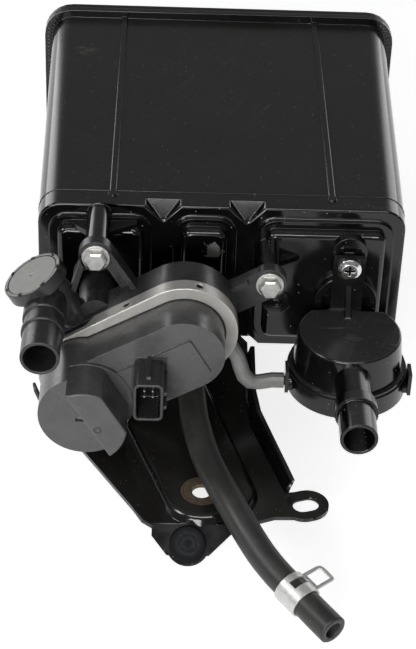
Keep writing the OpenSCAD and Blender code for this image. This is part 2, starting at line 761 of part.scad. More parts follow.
// Ear that takes the left bolt: a sleeve, a leg to the air port and a flat leg with a raised edge
module left_ear() {
    p = pump_local(boss_left_x, boss_left_z);
    foot = base_r - 4;
    web_t = 3;
    rib_t = 2.6;
    rib_d = 9;
    from = p + (ear_r - 1.5) * [-0.72, 0.69];
    to = [air_u + air_body_r - 1.5, air_v - 3.2];
    side = rib_t * unit([from[1] - to[1], to[0] - from[0]]);
    bar_y(p[0], p[1], ear_r, pump_y, ear_t);
    along_y(pump_y, rib_d) polygon([from, to, to + side, from + side]);
    along_y(pump_y, web_t) polygon([
        p, p + [ear_r, 0], [p[0] + ear_r + 0.8, foot], [p[0] + 0.5, foot]]);
    along_y(pump_y, rib_d) polygon([
        p + [ear_r - rib_t, 0], p + [ear_r, 0], [p[0] + ear_r + 0.8, foot],
            [p[0] + ear_r + 0.8 - rib_t, foot]]);
}

// Ear that takes the right bolt: an arm with a raised edge
module right_ear() {
    p = pump_local(boss_right_x, boss_right_z);
    y = pump_y - right_ear_back;
    half = ear_r - 0.4;
    root = base_r - 6;
    rib_t = 2.4;
    rib_d = 9;
    bar_y(p[0], p[1], ear_r, y, ear_t);
    along_y(y, ear_t) translate([root, p[1] - half]) square([p[0] - root, 2 * half]);
    along_y(y, rib_d) translate([root, p[1] + half - rib_t]) square([p[0] - ear_r - root, rib_t]);
}

// The T-shaped air port on the pump's left end: a flat column with a cup on its top
module air_port_body() {
    mid_y = pump_y + base_d / 2;
    column_d = base_d - 0.2;
    cup_v = air_v + air_cup_v - air_cup_h;
    translate([air_u, -mid_y, base_r - 6]) linear_extrude(cup_v - base_r + 6)
        rounded_box_2d(2 * air_body_r, column_d, column_d / 2 - 0.6);
    translate([-pump_span, -mid_y, air_v]) cylinder(r1 = column_d / 2 - 1.2, r2 = air_cup_r, h = cup_v - air_v);
    translate([-pump_span, -mid_y, cup_v]) cylinder(r = air_cup_r, h = air_cup_h);
    bar_y(-pump_span, air_v, air_r + 0.9, mid_y, 22);
    bar_y(-pump_span, air_v, air_r, mid_y, air_y - mid_y);
    bar_y(-pump_span, air_v, air_r + 0.9, air_y - 22, 3);
}

module air_port_bore() {
    mid_y = pump_y + base_d / 2;
    top_v = air_v + air_cup_v;
    bar_y(-pump_span, air_v, air_bore_r, mid_y, air_y - mid_y + eps);
    translate([-pump_span, -mid_y, base_r + 6])
        cylinder(r = base_d / 2 - 2.5, h = top_v - base_r - 6 + eps);
    translate([-pump_span, -mid_y, 0]) cylinder(r = 4, h = air_v);
    translate([-pump_span, -mid_y, top_v - disc_t - 3]) cylinder(r = disc_r - 2, h = disc_t + 3 + eps);
    translate([-pump_span, -mid_y, top_v - disc_t]) cylinder(r = disc_r + 0.1, h = disc_t + eps);
}

module pump_base() {
    inner_r = base_r - 1 - base_rim_w;
    spigot = pump_local(pump_port_x, pump_port_z);
    spigot_r = port_r - port_gap;
    color(grey_plastic) placed() {
        pump_frame() difference() {
            union() {
                pump_pill(base_r, pump_y, base_d);
                pump_pill(base_r - 1, pump_y, base_d + base_rim_h);
                left_ear();
                right_ear();
                air_port_body();
                bar_y(spigot[0], spigot[1], spigot_r, dome_y + 2, base_d + pump_y - dome_y - 6);
            }
            pump_pill(inner_r, pump_y + base_back_t, base_d + base_rim_h);
            air_port_bore();
            bar_y(spigot[0], spigot[1], spigot_r - 2.5, dome_y, pump_y - dome_y + base_back_t + 6);
            difference() {
                bar_y(spigot[0], spigot[1], spigot_r + 1, dome_y + 4, 2 * seal_r + 0.4);
                bar_y(spigot[0], spigot[1], port_r - 2 * seal_r - 0.1, dome_y + 3, 6);
            }
            for (p = bolt_places)
                let (q = pump_local(p[0], p[1]))
                union() {
                    bar_y(q[0], q[1], bolt_d / 2 + 0.3, p[2] - eps, ear_t + 2 * eps);
                    bar_y(q[0], q[1], bolt_flange_d / 2 + 0.5, p[2] + ear_t, base_d);
                }
        }
        pump_frame() difference() {
            bar_y(0, 0, socket_r, pump_y + base_back_t - eps, 5);
            bar_y(0, 0, socket_r - socket_wall, pump_y, 10);
        }
        translate([pump_x, -link_y, pump_z]) rotate([0, 90 - link_turn, 0])
            translate([0, 0, base_r - 1]) difference() {
                cylinder(r = link_nipple_r, h = link_nipple_l + 1);
                translate([0, 0, 1]) cylinder(r = link_nipple_r - 0.9, h = link_nipple_l + 1);
            }
    }
}

module pump_gasket() {
    color(rubber) placed() pump_frame() difference() {
        pump_pill(base_r - 1, gasket_y + stack_gap / 2, gasket_t - stack_gap);
        pump_pill(base_r - 1 - base_rim_w, gasket_y - eps, gasket_t + 2 * eps);
    }
}

// Stamped ring that clamps the cap's flange onto the base
module pump_band() {
    open_gap = 0.4;
    crimp_r = 1.7;
    crimp_y = (rim_y + band_y) / 2;
    color(steel) placed() pump_frame() difference() {
        pump_pill(band_r, rim_y + stack_gap, band_y - rim_y - stack_gap);
        pump_pill(band_r - band_t, rim_y - eps, band_y - rim_y - band_t + eps);
        along_y(rim_y, band_y) polygon(pill(cap_r + open_gap, cap_r + open_gap, pump_span));
        bar_y(-pump_span, 0, motor_r + open_gap, rim_y, band_y);
        translate([-pump_span, 0, base_r / 2]) linear_extrude(base_r) polygon([
            [-air_body_r - 14, -rim_y], [18, -rim_y], [13, -band_y + 3],
            [-air_body_r - 14, -band_y + 3]]);
        translate([-pump_span / 3, -crimp_y, 0]) cylinder(r = crimp_r, h = base_r + 5);
        rotate([0, 45, 0]) translate([0, -crimp_y, 0]) cylinder(r = crimp_r, h = base_r + 5);
    }
}

// Motor end: a round housing, cut back beside a tall strip that guards the connector
module motor_end() {
    shelf_y = cap_face_y + shelf_d;
    difference() {
        bar_y(-pump_span, 0, motor_r, cap_y, motor_y - cap_y);
        translate([-pump_span + guard_u, -motor_y - eps, -motor_r - eps])
            cube([motor_r, motor_y - shelf_y + eps, 2 * motor_r + 2 * eps]);
        along_y(motor_y - 3, 3 + eps)
            translate([-pump_span, 0]) polygon([[-6, -1], [-4, 1.2], [1.8, -5.5]]);
    }
    along_y(shelf_y - eps, motor_y - shelf_y + guard_d + eps) intersection() {
        translate([-pump_span, guard_less / 2]) circle(motor_r - guard_less / 2 - guard_step);
        translate([-pump_span + guard_u - eps, -motor_r]) square([guard_w + eps, 2 * motor_r]);
    }
}

module plug_shroud() {
    translate([plug_x, 0, plug_z]) {
        along_y(cap_face_y - eps, plug_d + eps) rounded_box_2d(plug_w, plug_h, 3);
        along_y(cap_face_y - eps, plug_d - 4) translate([-1, plug_h / 2 - eps]) square([2, 1.3 + eps]);
        along_y(cap_face_y - eps, plug_d - 2) translate([plug_w / 2 - eps, -plug_h / 4])
            square([1.6 + eps, 1.8]);
        along_y(cap_face_y - eps, plug_d - 2) translate([plug_w / 2 - eps, plug_h / 8])
            square([1.6 + eps, 1.8]);
    }
}

function pin_places() = [for (i = [-1, 1], k = [-1:1]) [plug_x + i * 2, plug_z + 1.2 + k * 3.4]];

module pump_cap() {
    flange_r = base_r - 1;
    color(grey_plastic) placed() difference() {
        union() {
            pump_frame() {
                pump_pill(flange_r, cap_y, cap_flange_t);
                along_y(cap_y, cap_face_y - cap_y) polygon(pill(cap_r, cap_r, pump_span));
                motor_end();
                along_y(cap_face_y - eps, 1.4 + eps) translate([-13, -3.4]) rounded_box_2d(41, 22.2, 1.5);
            }
            plug_shroud();
        }
        pump_frame() {
            along_y(cap_y - eps, cap_face_y - cap_y - cap_wall + eps)
                polygon(pill(cap_r - cap_wall, cap_r - cap_wall, pump_span));
            bar_y(-pump_span, 0, motor_r - cap_wall, cap_y - eps,
                cap_face_y + shelf_d - cap_y - cap_wall + eps);
            bar_y(-pump_span, 0, bearing_r + lay_gap, cap_y, motor_y - cap_y - cap_wall);
        }
        translate([plug_x, 0, plug_z]) along_y(plug_y - plug_socket_d, plug_socket_d + eps)
            rounded_box_2d(plug_w - 2 * plug_wall, plug_h - 2 * plug_wall, 2);
        for (p = pin_places())
            translate([p[0], 0, p[1]]) along_y(cap_face_y - 2 * cap_wall, plug_d)
                square(pin_w + 0.1, center = true);
    }
}

module connector_pins() {
    color(brass) placed() for (p = pin_places())
        translate([p[0], 0, p[1]])
            along_y(cap_face_y - cap_wall - stack_gap / 2, plug_d - 5) square(pin_w, center = true);
}

// Board behind the connector, held by its terminals
module circuit_board() {
    board_t = 1.6;
    color([0.10, 0.32, 0.18]) placed() translate([plug_x, 0, plug_z])
        along_y(cap_face_y - cap_wall - stack_gap - board_t, board_t) rounded_box_2d(15, 20, 1);
}

module pump_motor() {
    can_y = cap_face_y + shelf_d - cap_wall - stack_gap;
    front_y = motor_y - cap_wall - stack_gap;
    color(steel) placed() pump_frame() {
        bar_y(-pump_span, 0, motor_r - cap_wall - lay_gap, gasket_y + 2, can_y - gasket_y - 2);
        bar_y(-pump_span, 0, motor_r - cap_wall - 8, pump_y + base_back_t + stack_gap, gasket_y - pump_y);
        bar_y(-pump_span, 0, bearing_r, gasket_y, front_y - gasket_y);
    }
}

// Sealed solenoid valve, standing in the base's round socket
module vent_solenoid() {
    color(zinc) placed() pump_frame() {
        bar_y(0, 0, socket_r - socket_wall - lay_gap, pump_y + base_back_t + stack_gap, base_d + 6);
        bar_y(0, 0, 7, pump_y + base_d, cap_face_y - cap_wall - stack_gap - pump_y - base_d);
    }
}

module port_disc() {
    color([0.62, 0.62, 0.61]) placed() pump_frame()
        translate([-pump_span, -pump_y - base_d / 2, air_v + air_cup_v - disc_t]) difference() {
            cylinder(r = disc_r, h = disc_t);
            translate([0, 0, disc_t - 0.4]) cylinder(r = 1, h = 1);
        }
}

module seal_ring(r) {
    rotate([90, 0, 0]) rotate_extrude() translate([r, 0]) circle(seal_r);
}

module pump_seal() {
    r = port_r - seal_r - 0.05;
    color(rubber) placed() translate([pump_port_x, -dome_y - 4 - seal_r - 0.2, pump_port_z]) seal_ring(r);
}

// Hexagon bolt with a flange, head along +Z and shank along -Z
module flange_bolt(l) {
    flange_h = 1.6;
    head_h = 6;
    cylinder(d = bolt_flange_d, h = flange_h);
    cylinder(d = bolt_flats / cos(30), h = head_h, $fn = 6);
    translate([0, 0, -l]) cylinder(d = bolt_d, h = l);
}

module pump_bolts() {
    color(zinc) placed() for (p = bolt_places)
        translate([p[0], -p[2] - ear_t, p[1]]) rotate([90, 0, 0]) flange_bolt(bolt_l);
}

module vent_outline(r_top, r_low, z_top, z_low) {
    translate([0, 0, z_low]) cylinder(r1 = r_low, r2 = r_top, h = z_top - z_low);
}

// Half space in front of a plane at y, as seen from the case
module in_front(y) {
    translate([-60, -y - 120, -60]) cube([120, 120, 120]);
}

module vent_housing() {
    spigot_r = port_r - port_gap;
    tab_dx = tab_x - vent_x;
    tab_top = tab_screw_z + tab_rise - vent_top_z;
    color(black_plastic) placed() translate([vent_x, 0, vent_top_z]) {
        difference() {
            union() {
                intersection() {
                    translate([0, -vent_y, 0]) {
                        vent_outline(vent_r, vent_rim_r, 0, -vent_h);
                        translate([0, 0, -vent_h + vent_lap]) cylinder(r = vent_cover_r - 0.7, h = 1.8);
                    }
                    in_front(vent_back_y);
                }
                bar_y(vent_port_dx, -vent_port_drop, vent_port_r,
                    vent_y + vent_r / 2, vent_mouth_y - vent_y - vent_r / 2);
                bar_y(vent_port_dx, -vent_port_drop, vent_port_r + 1.4, vent_mouth_y - 26, 7);
                bar_y(0, -vent_port_drop, spigot_r, dome_y - 3, vent_back_y - dome_y + 4);
                along_y(tab_y, tab_t) translate([tab_dx, (tab_top - vent_port_drop) / 2])
                    rounded_box_2d(tab_w, tab_top + vent_port_drop, 1.5);
                translate([tab_dx - 0.6, -vent_back_y, 0]) rotate([90, 0, 90]) linear_extrude(2.4)
                    polygon([[eps, -2], [eps, 15], [-1, 15], [-9, -2]]);
            }
            intersection() {
                translate([0, -vent_y, 0]) vent_outline(
                    vent_r - vent_wall, vent_rim_r - vent_wall, -vent_wall, -vent_h - eps);
                in_front(vent_back_y + vent_wall);
            }
            bar_y(vent_port_dx, -vent_port_drop, vent_bore_r, vent_y, vent_mouth_y);
            bar_y(0, -vent_port_drop, spigot_r - 2.5, 0, vent_y);
            bar_y(tab_dx, tab_screw_z - vent_top_z, screw_d / 2 + 0.4, 0, vent_back_y + tab_t);
            difference() {
                bar_y(0, -vent_port_drop, spigot_r + 1, dome_y - 1, 2 * seal_r + 0.4);
                bar_y(0, -vent_port_drop, port_r - 2 * seal_r - 0.1, dome_y - 2, 6);
            }
        }
    }
}

module vent_cover() {
    wall = 1.7;
    back_y = tab_y + 0.6;
    nipple_y = vent_nipple_y;
    nipple_z = vent_nipple_z - vent_top_z;
    z_low = vent_rim_z - vent_cover_h + vent_lap - vent_top_z;
    z_high = vent_cover_z - stack_gap - vent_top_z;
    color(black_plastic) placed() translate([vent_x, 0, vent_top_z]) difference() {
        union() {
            difference() {
                translate([0, -vent_y, z_low]) cylinder(r = vent_cover_r, h = z_high - z_low);
                translate([-vent_cover_r, -back_y, z_low - eps])
                    cube([2 * vent_cover_r, 30, z_high - z_low + 2 * eps]);
            }
            for (s = [-1, 1]) {
                translate([s * clip_x - clip_t / 2, -nipple_y - 5, z_low + 3])
                    cube([clip_t, 10, z_high - z_low + 2]);
                translate([s * (clip_x - 2) - 2, -nipple_y - 3, z_low + 3]) cube([4, 6, 3]);
            }
            translate([-clip_x - clip_t / 2 - link_nipple_l + 1, -nipple_y, nipple_z])
                rotate([0, 90, 0]) cylinder(r = link_nipple_r, h = link_nipple_l + 3);
        }
        difference() {
            translate([0, -vent_y, z_low + 2]) cylinder(r = vent_rim_r + lay_gap, h = vent_cover_h);
            translate([-vent_cover_r, -back_y - wall, z_low]) cube([2 * vent_cover_r, 30, vent_cover_h]);
        }
        translate([-clip_x - 10, -nipple_y, nipple_z]) rotate([0, 90, 0])
            cylinder(r = link_nipple_r - 0.9, h = 16);
    }
}

module vent_filter() {
    z_low = vent_rim_z - vent_cover_h + vent_lap + 2 + stack_gap;
    color(felt) placed() translate([vent_x, 0, 0]) intersection() {
        translate([0, -vent_y, z_low]) cylinder(r = vent_r - vent_wall - 1, h = filter_h);
        translate([0, 0, vent_top_z]) in_front(vent_back_y + vent_wall + lay_gap);
    }
}

module vent_seal() {
    r = port_r - seal_r - 0.05;
    color(rubber) placed() translate([vent_x, -dome_y + 1 - seal_r - 0.2, vent_port_z]) seal_ring(r);
}

// Pan-head screw with a cross recess
module vent_screw() {
    head_h = 3.4;
    shank_l = 12;
    color(zinc) placed() translate([tab_x, -vent_back_y, tab_screw_z]) rotate([90, 0, 0]) difference() {
        union() {
            cylinder(d = screw_head_d, h = head_h - 1.4);
            translate([0, 0, head_h - 1.4]) cylinder(d1 = screw_head_d, d2 = screw_head_d - 4, h = 1.4);
            translate([0, 0, -shank_l]) cylinder(d = screw_d - 0.1, h = shank_l);
        }
        for (a = [0, 90]) rotate([0, 0, a]) translate([-2.6, -0.6, head_h - 2]) cube([5.2, 1.2, 3]);
    }
}

module link_hose() {
    color(rubber) placed() tube(link_route, link_r, link_bore_r, [0, 1, 0], 12);
}

// Raised panel of the bracket, drawn in by t below its outer skin
module bracket_panel(t) {
    slope = 2.2;
    corners = [[hole_x, -hole_y, 18], [hole_x + 8, -hole_y + 2, 17], [-36, -62, 9], [-14, -32, 8]];
    hull() for (p = corners)
        translate([p[0], p[1], bracket_z - steel_t - t])
            cylinder(r1 = p[2] + slope + 1 - t / 2, r2 = p[2] - t / 2, h = panel_h + steel_t, $fn = 32);
}

module bracket_lip(t) {
    translate([0, -lip_y, bracket_z]) rotate([lip_bend, 0, 0]) translate([0, 0, -t]) linear_extrude(t) {
        polygon([[-31.5, 1], [-31.5, -5], [bumper_x - 10, -lip_l + 5],
            [bumper_x + 10, -lip_l + 5], [8, -2], [8, 1]]);
        translate([bumper_x, -lip_l + lip_round]) circle(lip_round);
    }
}

// Side wall along the bracket's right edge, leaning outwards
module bracket_side() {
    lean = 3.2;
    last = len(side_path) - 1;
    points = [for (p = side_path) each [
        [p[0], p[1], bracket_z - steel_t], [p[0] + steel_t, p[1], bracket_z - steel_t],
        [p[0] + steel_t + lean, p[1], bracket_z + side_h], [p[0] + lean, p[1], bracket_z + side_h]]];
    sides = [for (i = [0:last - 1], k = [0:3])
        [4 * i + k, 4 * i + (k + 1) % 4, 4 * i + 4 + (k + 1) % 4, 4 * i + 4 + k]];
    polyhedron(points, concat([[3, 2, 1, 0]], [for (f = sides) each [
        [f[0], f[2], f[1]], [f[0], f[3], f[2]]]], [[for (k = [0:3]) 4 * last + k]]));
}

// Round-ended tab that carries the slot
module slot_tab() {
    tab_r = 10;
    translate([slot_x, -slot_y]) rotate(slot_turn) {
        for (s = [-1, 1]) translate([s * 1.2, 0]) circle(tab_r);
        translate([-1.2, -tab_r]) square([2.4, 2 * tab_r]);
    }
}

module bracket() {
    back_y = 26;
    edge = [for (p = side_path) p + [steel_t, 0]];
    color(painted_steel) placed() difference() {
        union() {
            translate([0, 0, bracket_z - steel_t]) linear_extrude(steel_t) {
                polygon(concat([[8, back_y], [edge[0][0], 12]], edge, [
                    [slot_x - 4, -slot_y + 9], [slot_x, -slot_y - 9], [27, -slot_y - 9.5], [8, -lip_y],
                    [-31.5, -lip_y], [-36.5, -130.4], [-40.4, -123], [-75, -67], [-75, back_y]]));
                slot_tab();
            }
            bracket_panel(0);
            bracket_side();
            bracket_lip(steel_t);
        }
        bracket_panel(steel_t);
        translate([hole_x, -hole_y, panel_z - 2 * steel_t]) cylinder(d = hole_d, h = 4 * steel_t);
        translate([slot_x, -slot_y, bracket_z - steel_t - eps]) rotate([0, 0, slot_turn]) {
            for (s = [-1, 1]) translate([s * (slot_l - slot_w) / 2, 0, 0])
                cylinder(d = slot_w, h = steel_t + 2 * eps);
            translate([-(slot_l - slot_w) / 2, -slot_w / 2, 0])
                cube([slot_l - slot_w, slot_w, steel_t + 2 * eps]);
        }
        for (x = lug_x) translate([x, -lug_y, bracket_z - steel_t - eps])
            cylinder(d = bolt_d + 0.6, h = steel_t + 2 * eps);
        translate([bumper_x, -lip_y, bracket_z]) rotate([lip_bend, 0, 0])
            translate([0, -lip_l + lip_round, -steel_t - eps])
                cylinder(r = bumper_r / 2 + 0.3, h = steel_t + 2 * eps);
    }
}

module bracket_bolts() {
    color(zinc) placed() for (x = lug_x)
        translate([x, -lug_y, bracket_z - steel_t]) rotate([180, 0, 0]) flange_bolt(steel_t + 5);
}

// Rubber bumper, buttoned through the bracket's lip
module bumper() {
    color(rubber) placed() translate([bumper_x, -lip_y, bracket_z]) rotate([lip_bend, 0, 0])
        translate([0, -lip_l + lip_round, 0]) {
            translate([0, 0, bumper_t - 1]) cylinder(r1 = bumper_r, r2 = bumper_r - 1, h = 1);
            cylinder(r = bumper_r, h = bumper_t - 1);
            translate([0, 0, -steel_t - 2]) cylinder(r = bumper_r / 2, h = steel_t + 2 + eps);
            translate([0, 0, -steel_t - 2]) cylinder(r = bumper_r / 2 + 1, h = 2 - 0.1);
        }
}

module purge_hose() {
    color(rubber) placed() tube(hose_route, hose_r, hose_bore_r, [0, 0, 1], 12);
}

// Spring band clamp with a window and a loop ear, its axis along the hose
module hose_clamp() {
    way = unit(clamp_to - clamp_from);
    band_in = hose_r + 0.1;
    ear_l = 12;
    loop_bar = 1.5;
    color(zinc) placed() translate((clamp_from + clamp_to) / 2)
        rotate([0, acos(way[2]), atan2(way[1], way[0])]) {
            difference() {
                cylinder(r = band_in + clamp_t, h = clamp_w, center = true);
                cylinder(r = band_in, h = clamp_w + 2 * eps, center = true);
                translate([-band_in - 4, -3.5, -clamp_w / 4]) cube([6, 9.5, clamp_w / 3]);
            }
            difference() {
                translate([-clamp_t / 2 - 4, band_in - 2 + clamp_t, -clamp_w * 0.4])
                    cube([clamp_t, ear_l, clamp_w * 0.8]);
                translate([-clamp_t / 2 - 5, band_in + 1, loop_bar - clamp_w * 0.4])
                    cube([clamp_t + 2, ear_l - 3 - loop_bar + clamp_t, clamp_w * 0.8 - 2 * loop_bar]);
                cylinder(r = band_in, h = clamp_w, center = true);
            }
        }
}

case();
rear_cover();
carbon_bed(0);  // carbon_bed_left
carbon_bed(1);  // carbon_bed_centre
carbon_bed(2);  // carbon_bed_right
front_pad(0);  // front_pad_left
front_pad(1);  // front_pad_centre
front_pad(2);  // front_pad_right
rear_pad(0);  // rear_pad_left
rear_pad(1);  // rear_pad_centre
rear_pad(2);  // rear_pad_right
retainer_plate(0);  // retainer_plate_left
retainer_plate(1);  // retainer_plate_centre
retainer_plate(2);  // retainer_plate_right
bed_springs(0);  // bed_springs_left
bed_springs(1);  // bed_spring_centre
bed_springs(2);  // bed_springs_right
boss_inserts();
pump_base();
pump_gasket();
pump_band();
pump_cap();
connector_pins();
circuit_board();
pump_motor();
vent_solenoid();
port_disc();
pump_seal();
pump_bolts();
vent_housing();
vent_cover();
vent_filter();
vent_seal();
vent_screw();
link_hose();
bracket();
bracket_bolts();
bumper();
purge_hose();
hose_clamp();
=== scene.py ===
"""Fuel vapour charcoal canister: its looks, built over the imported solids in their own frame."""

import logging
import math
from dataclasses import dataclass
from enum import Enum
from typing import Protocol, Sequence, Union

import bmesh
import bpy
from mathutils import Euler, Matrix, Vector


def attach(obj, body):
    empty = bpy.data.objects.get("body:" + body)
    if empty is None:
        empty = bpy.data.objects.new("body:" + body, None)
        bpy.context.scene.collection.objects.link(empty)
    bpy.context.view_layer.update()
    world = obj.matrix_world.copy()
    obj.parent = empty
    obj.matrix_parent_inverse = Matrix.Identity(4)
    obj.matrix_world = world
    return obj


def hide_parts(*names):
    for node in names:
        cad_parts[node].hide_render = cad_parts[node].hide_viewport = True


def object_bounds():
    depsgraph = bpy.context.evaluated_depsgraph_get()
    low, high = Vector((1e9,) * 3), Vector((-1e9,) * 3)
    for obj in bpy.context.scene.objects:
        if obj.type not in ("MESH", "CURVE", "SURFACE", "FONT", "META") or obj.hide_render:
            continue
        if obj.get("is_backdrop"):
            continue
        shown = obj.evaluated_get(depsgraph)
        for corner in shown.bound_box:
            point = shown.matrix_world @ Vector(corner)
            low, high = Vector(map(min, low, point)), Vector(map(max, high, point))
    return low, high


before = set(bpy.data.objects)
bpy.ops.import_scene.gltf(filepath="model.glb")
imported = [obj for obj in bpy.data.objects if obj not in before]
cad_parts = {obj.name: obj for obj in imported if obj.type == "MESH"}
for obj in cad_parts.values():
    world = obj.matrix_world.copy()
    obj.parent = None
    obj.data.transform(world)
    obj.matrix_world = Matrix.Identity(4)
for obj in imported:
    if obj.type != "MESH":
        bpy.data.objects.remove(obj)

Colour = tuple[float, float, float]
Point = tuple[float, float, float]
Pair = tuple[float, float]
Socket = bpy.types.NodeSocket
Value = Union[float, int, str, bool, tuple, Socket]

LOG = logging.getLogger("canister")
MM = 0.001
BODY = "root"
BACK = Vector((0.0, 1.0, 0.0))
UP = Vector((0.0, 0.0, 1.0))
WHITE = (1.0, 1.0, 1.0, 1.0)

# The shared frame's origin, the middle of the bracket's hole, in the case's own frame.
ORIGIN: Point = (-8.0, -114.5, -88.5)


def at(x: float, y: float, z: float) -> Vector:
    """Return a point of the case's own frame in the shared one, in metres.

    Args:
        x: Millimetres to the right of the case's middle.
        y: Millimetres behind the case's front rim.
        z: Millimetres above the case's top.
    """
    return Vector([(value - start) * MM for value, start in zip((x, y, z), ORIGIN)])


def grey(value: float) -> Colour:
    """Return a colour with no hue."""
    return (value, value, value)


class Shader:
    """A node material while it is put together."""

    CLOUD_ROUGHNESS = 0.55
    DOT_CORE = 0.55

    def __init__(self, name: str) -> None:
        """Start a material that holds only its surface and its output."""
        self.material = bpy.data.materials.new(name)
        self.material.use_nodes = True
        self.tree = self.material.node_tree
        self.tree.nodes.clear()
        output = self.tree.nodes.new("ShaderNodeOutputMaterial")
        self.surface = self.tree.nodes.new("ShaderNodeBsdfPrincipled")
        self.tree.links.new(self.surface.outputs[0], output.inputs[0])
        self.place = self.tree.nodes.new("ShaderNodeTexCoord").outputs["Object"]

    def feed(self, entry: Socket, value: Value) -> None:
        """Link an input to another node's output, or set it to a number or colour."""
        if isinstance(value, Socket):
            self.tree.links.new(value, entry)
        else:
            entry.default_value = value

    def node(self, kind: str, inputs: dict[Union[str, int], Value], **settings: Value) -> bpy.types.Node:
        """Add a node of a kind, with its own settings, and feed its inputs by name or place."""
        node = self.tree.nodes.new(kind)
        for key, value in settings.items():
            setattr(node, key, value)
        for key, value in inputs.items():
            self.feed(node.inputs[key], value)
        return node

    def dress(self, inputs: dict[str, Value]) -> bpy.types.Material:
        """Feed the surface's inputs by name, and return the finished material."""
        for name, value in inputs.items():
            self.feed(self.surface.inputs[name], value)
        return self.material

    def math(self, operation: str, first: Value, second: Value = 0.0) -> Socket:
        """Return the result of an operation on one or two numbers."""
        return self.node("ShaderNodeMath", {0: first, 1: second}, operation=operation).outputs[0]

    def vector(self, operation: str, first: Socket, second: Vector = Vector()) -> bpy.types.Node:
        """Return the node of an operation on one or two vectors."""
        return self.node("ShaderNodeVectorMath", {0: first, 1: tuple(second)}, operation=operation)

    def remap(self, value: Socket, span: Pair, result: Pair) -> Socket:
        """Return a number carried from one span to another, smoothly, and held at the ends."""
        inputs = {"Value": value, "From Min": span[0], "From Max": span[1], "To Min": result[0],
                  "To Max": result[1]}
        return self.node("ShaderNodeMapRange", inputs, interpolation_type="SMOOTHSTEP").outputs["Result"]

    def mix(self, factor: Value, first: Union[Colour, Socket], second: Union[Colour, Socket]) -> Socket:
        """Return a colour between two others."""
        # A mix node has an A and a B for each kind of data, so its sockets go by place.
        start, end = ((*c, 1.0) if isinstance(c, tuple) else c for c in (first, second))
        return self.node("ShaderNodeMix", {0: factor, 6: start, 7: end}, data_type="RGBA").outputs[2]

    def between(self, factor: Value, first: Value, second: Value) -> Socket:
        """Return a number between two others."""
        return self.node("ShaderNodeMix", {0: factor, 2: first, 3: second}, data_type="FLOAT").outputs[0]

    def noise(self, size: float, detail: float = 3.0, turn: Point = (0.0, 0.0, 0.0),
              stretch: Point = (1.0, 1.0, 1.0)) -> Socket:
        """Return a cloud pattern, with values about one half.

        Args:
            size: The clouds' size in millimetres.
            detail: How many finer layers lie on the first.
            turn: The pattern's turn in degrees.
            stretch: How much longer the clouds are each way.
        """
        placed = self.node("ShaderNodeMapping", {
            "Vector": self.place, "Scale": tuple(size * MM * s for s in stretch),
            "Rotation": tuple(math.radians(a) for a in turn)}, vector_type="TEXTURE")
        return self.node("ShaderNodeTexNoise", {
            "Vector": placed.outputs[0], "Scale": 1.0, "Detail": detail,
            "Roughness": self.CLOUD_ROUGHNESS}).outputs[0]

    def spots(self, spacing: float, radius: float, share: float) -> Socket:
        """Return one on small scattered dots, and nought off them.

        Args:
            spacing: The mean step between the places for dots, in millimetres.
            radius: A dot's radius in millimetres.
            share: The share of the places that hold one.
        """
        cells = self.node("ShaderNodeTexVoronoi", {"Vector": self.place, "Scale": 1.0 / (spacing * MM)})
        edge = radius / spacing
        near = self.remap(cells.outputs["Distance"], (edge * self.DOT_CORE, edge), (1.0, 0.0))
        pick = self.node("ShaderNodeSeparateColor", {0: cells.outputs["Color"]}).outputs[0]
        return self.math("MULTIPLY", near, self.math("LESS_THAN", pick, share))

    def rise(self, start: float, full: float) -> Socket:
        """Return how far the surface faces up: nought at one height of its normal and one at another."""
        normal = self.node("ShaderNodeNewGeometry", {}).outputs["Normal"]
        height = self.node("ShaderNodeSeparateXYZ", {0: normal}).outputs[2]
        return self.remap(height, (start, full), (0.0, 1.0))

    def from_point(self, point: Vector) -> Socket:
        """Return the distance, in millimetres, from a point."""
        return self.math("MULTIPLY", self.vector("DISTANCE", self.place, point).outputs["Value"], 1.0 / MM)

    def from_axis(self, point: Vector, axis: Vector) -> Socket:
        """Return the distance, in millimetres, from a line through a point."""
        offset = self.vector("SUBTRACT", self.place, point)
        across = self.vector("CROSS_PRODUCT", offset.outputs[0], axis.normalized())
        return self.math("MULTIPLY", self.vector("LENGTH", across.outputs[0]).outputs["Value"], 1.0 / MM)


# Nearly all of a cloud pattern lies between these values.
CLOUD_RANGE: Pair = (0.3, 0.7)


@dataclass
class Layers:
    """The colour and roughness that the marks of a finish are laid on."""

    tone: Socket
    rough: Socket

    def cover(self, shader: Shader, share: Socket, colour: Colour, rough: float) -> None:
        """Lay a colour and a roughness over what is there, as thickly as a share says."""
        self.tone = shader.mix(share, self.tone, colour)
        self.rough = shader.between(share, self.rough, rough)


class Mark(Protocol):
    """Something on a surface that changes its colour or roughness."""

    def lay(self, shader: Shader, layers: Layers) -> None:
        """Lay the mark over the layers below it."""


@dataclass(frozen=True)
class Specks:
    """Dust and nicks: scattered dots, with their spacing and radius in millimetres."""

    colour: Colour
    spacing: float
    radius: float
    share: float
    strength: float = 0.6
    rough: float = 0.75

    def lay(self, shader: Shader, layers: Layers) -> None:
        """Lay the dots, duller than the surface below."""
        dots = shader.math("MULTIPLY", shader.spots(self.spacing, self.radius, self.share), self.strength)
        layers.cover(shader, dots, self.colour, self.rough)


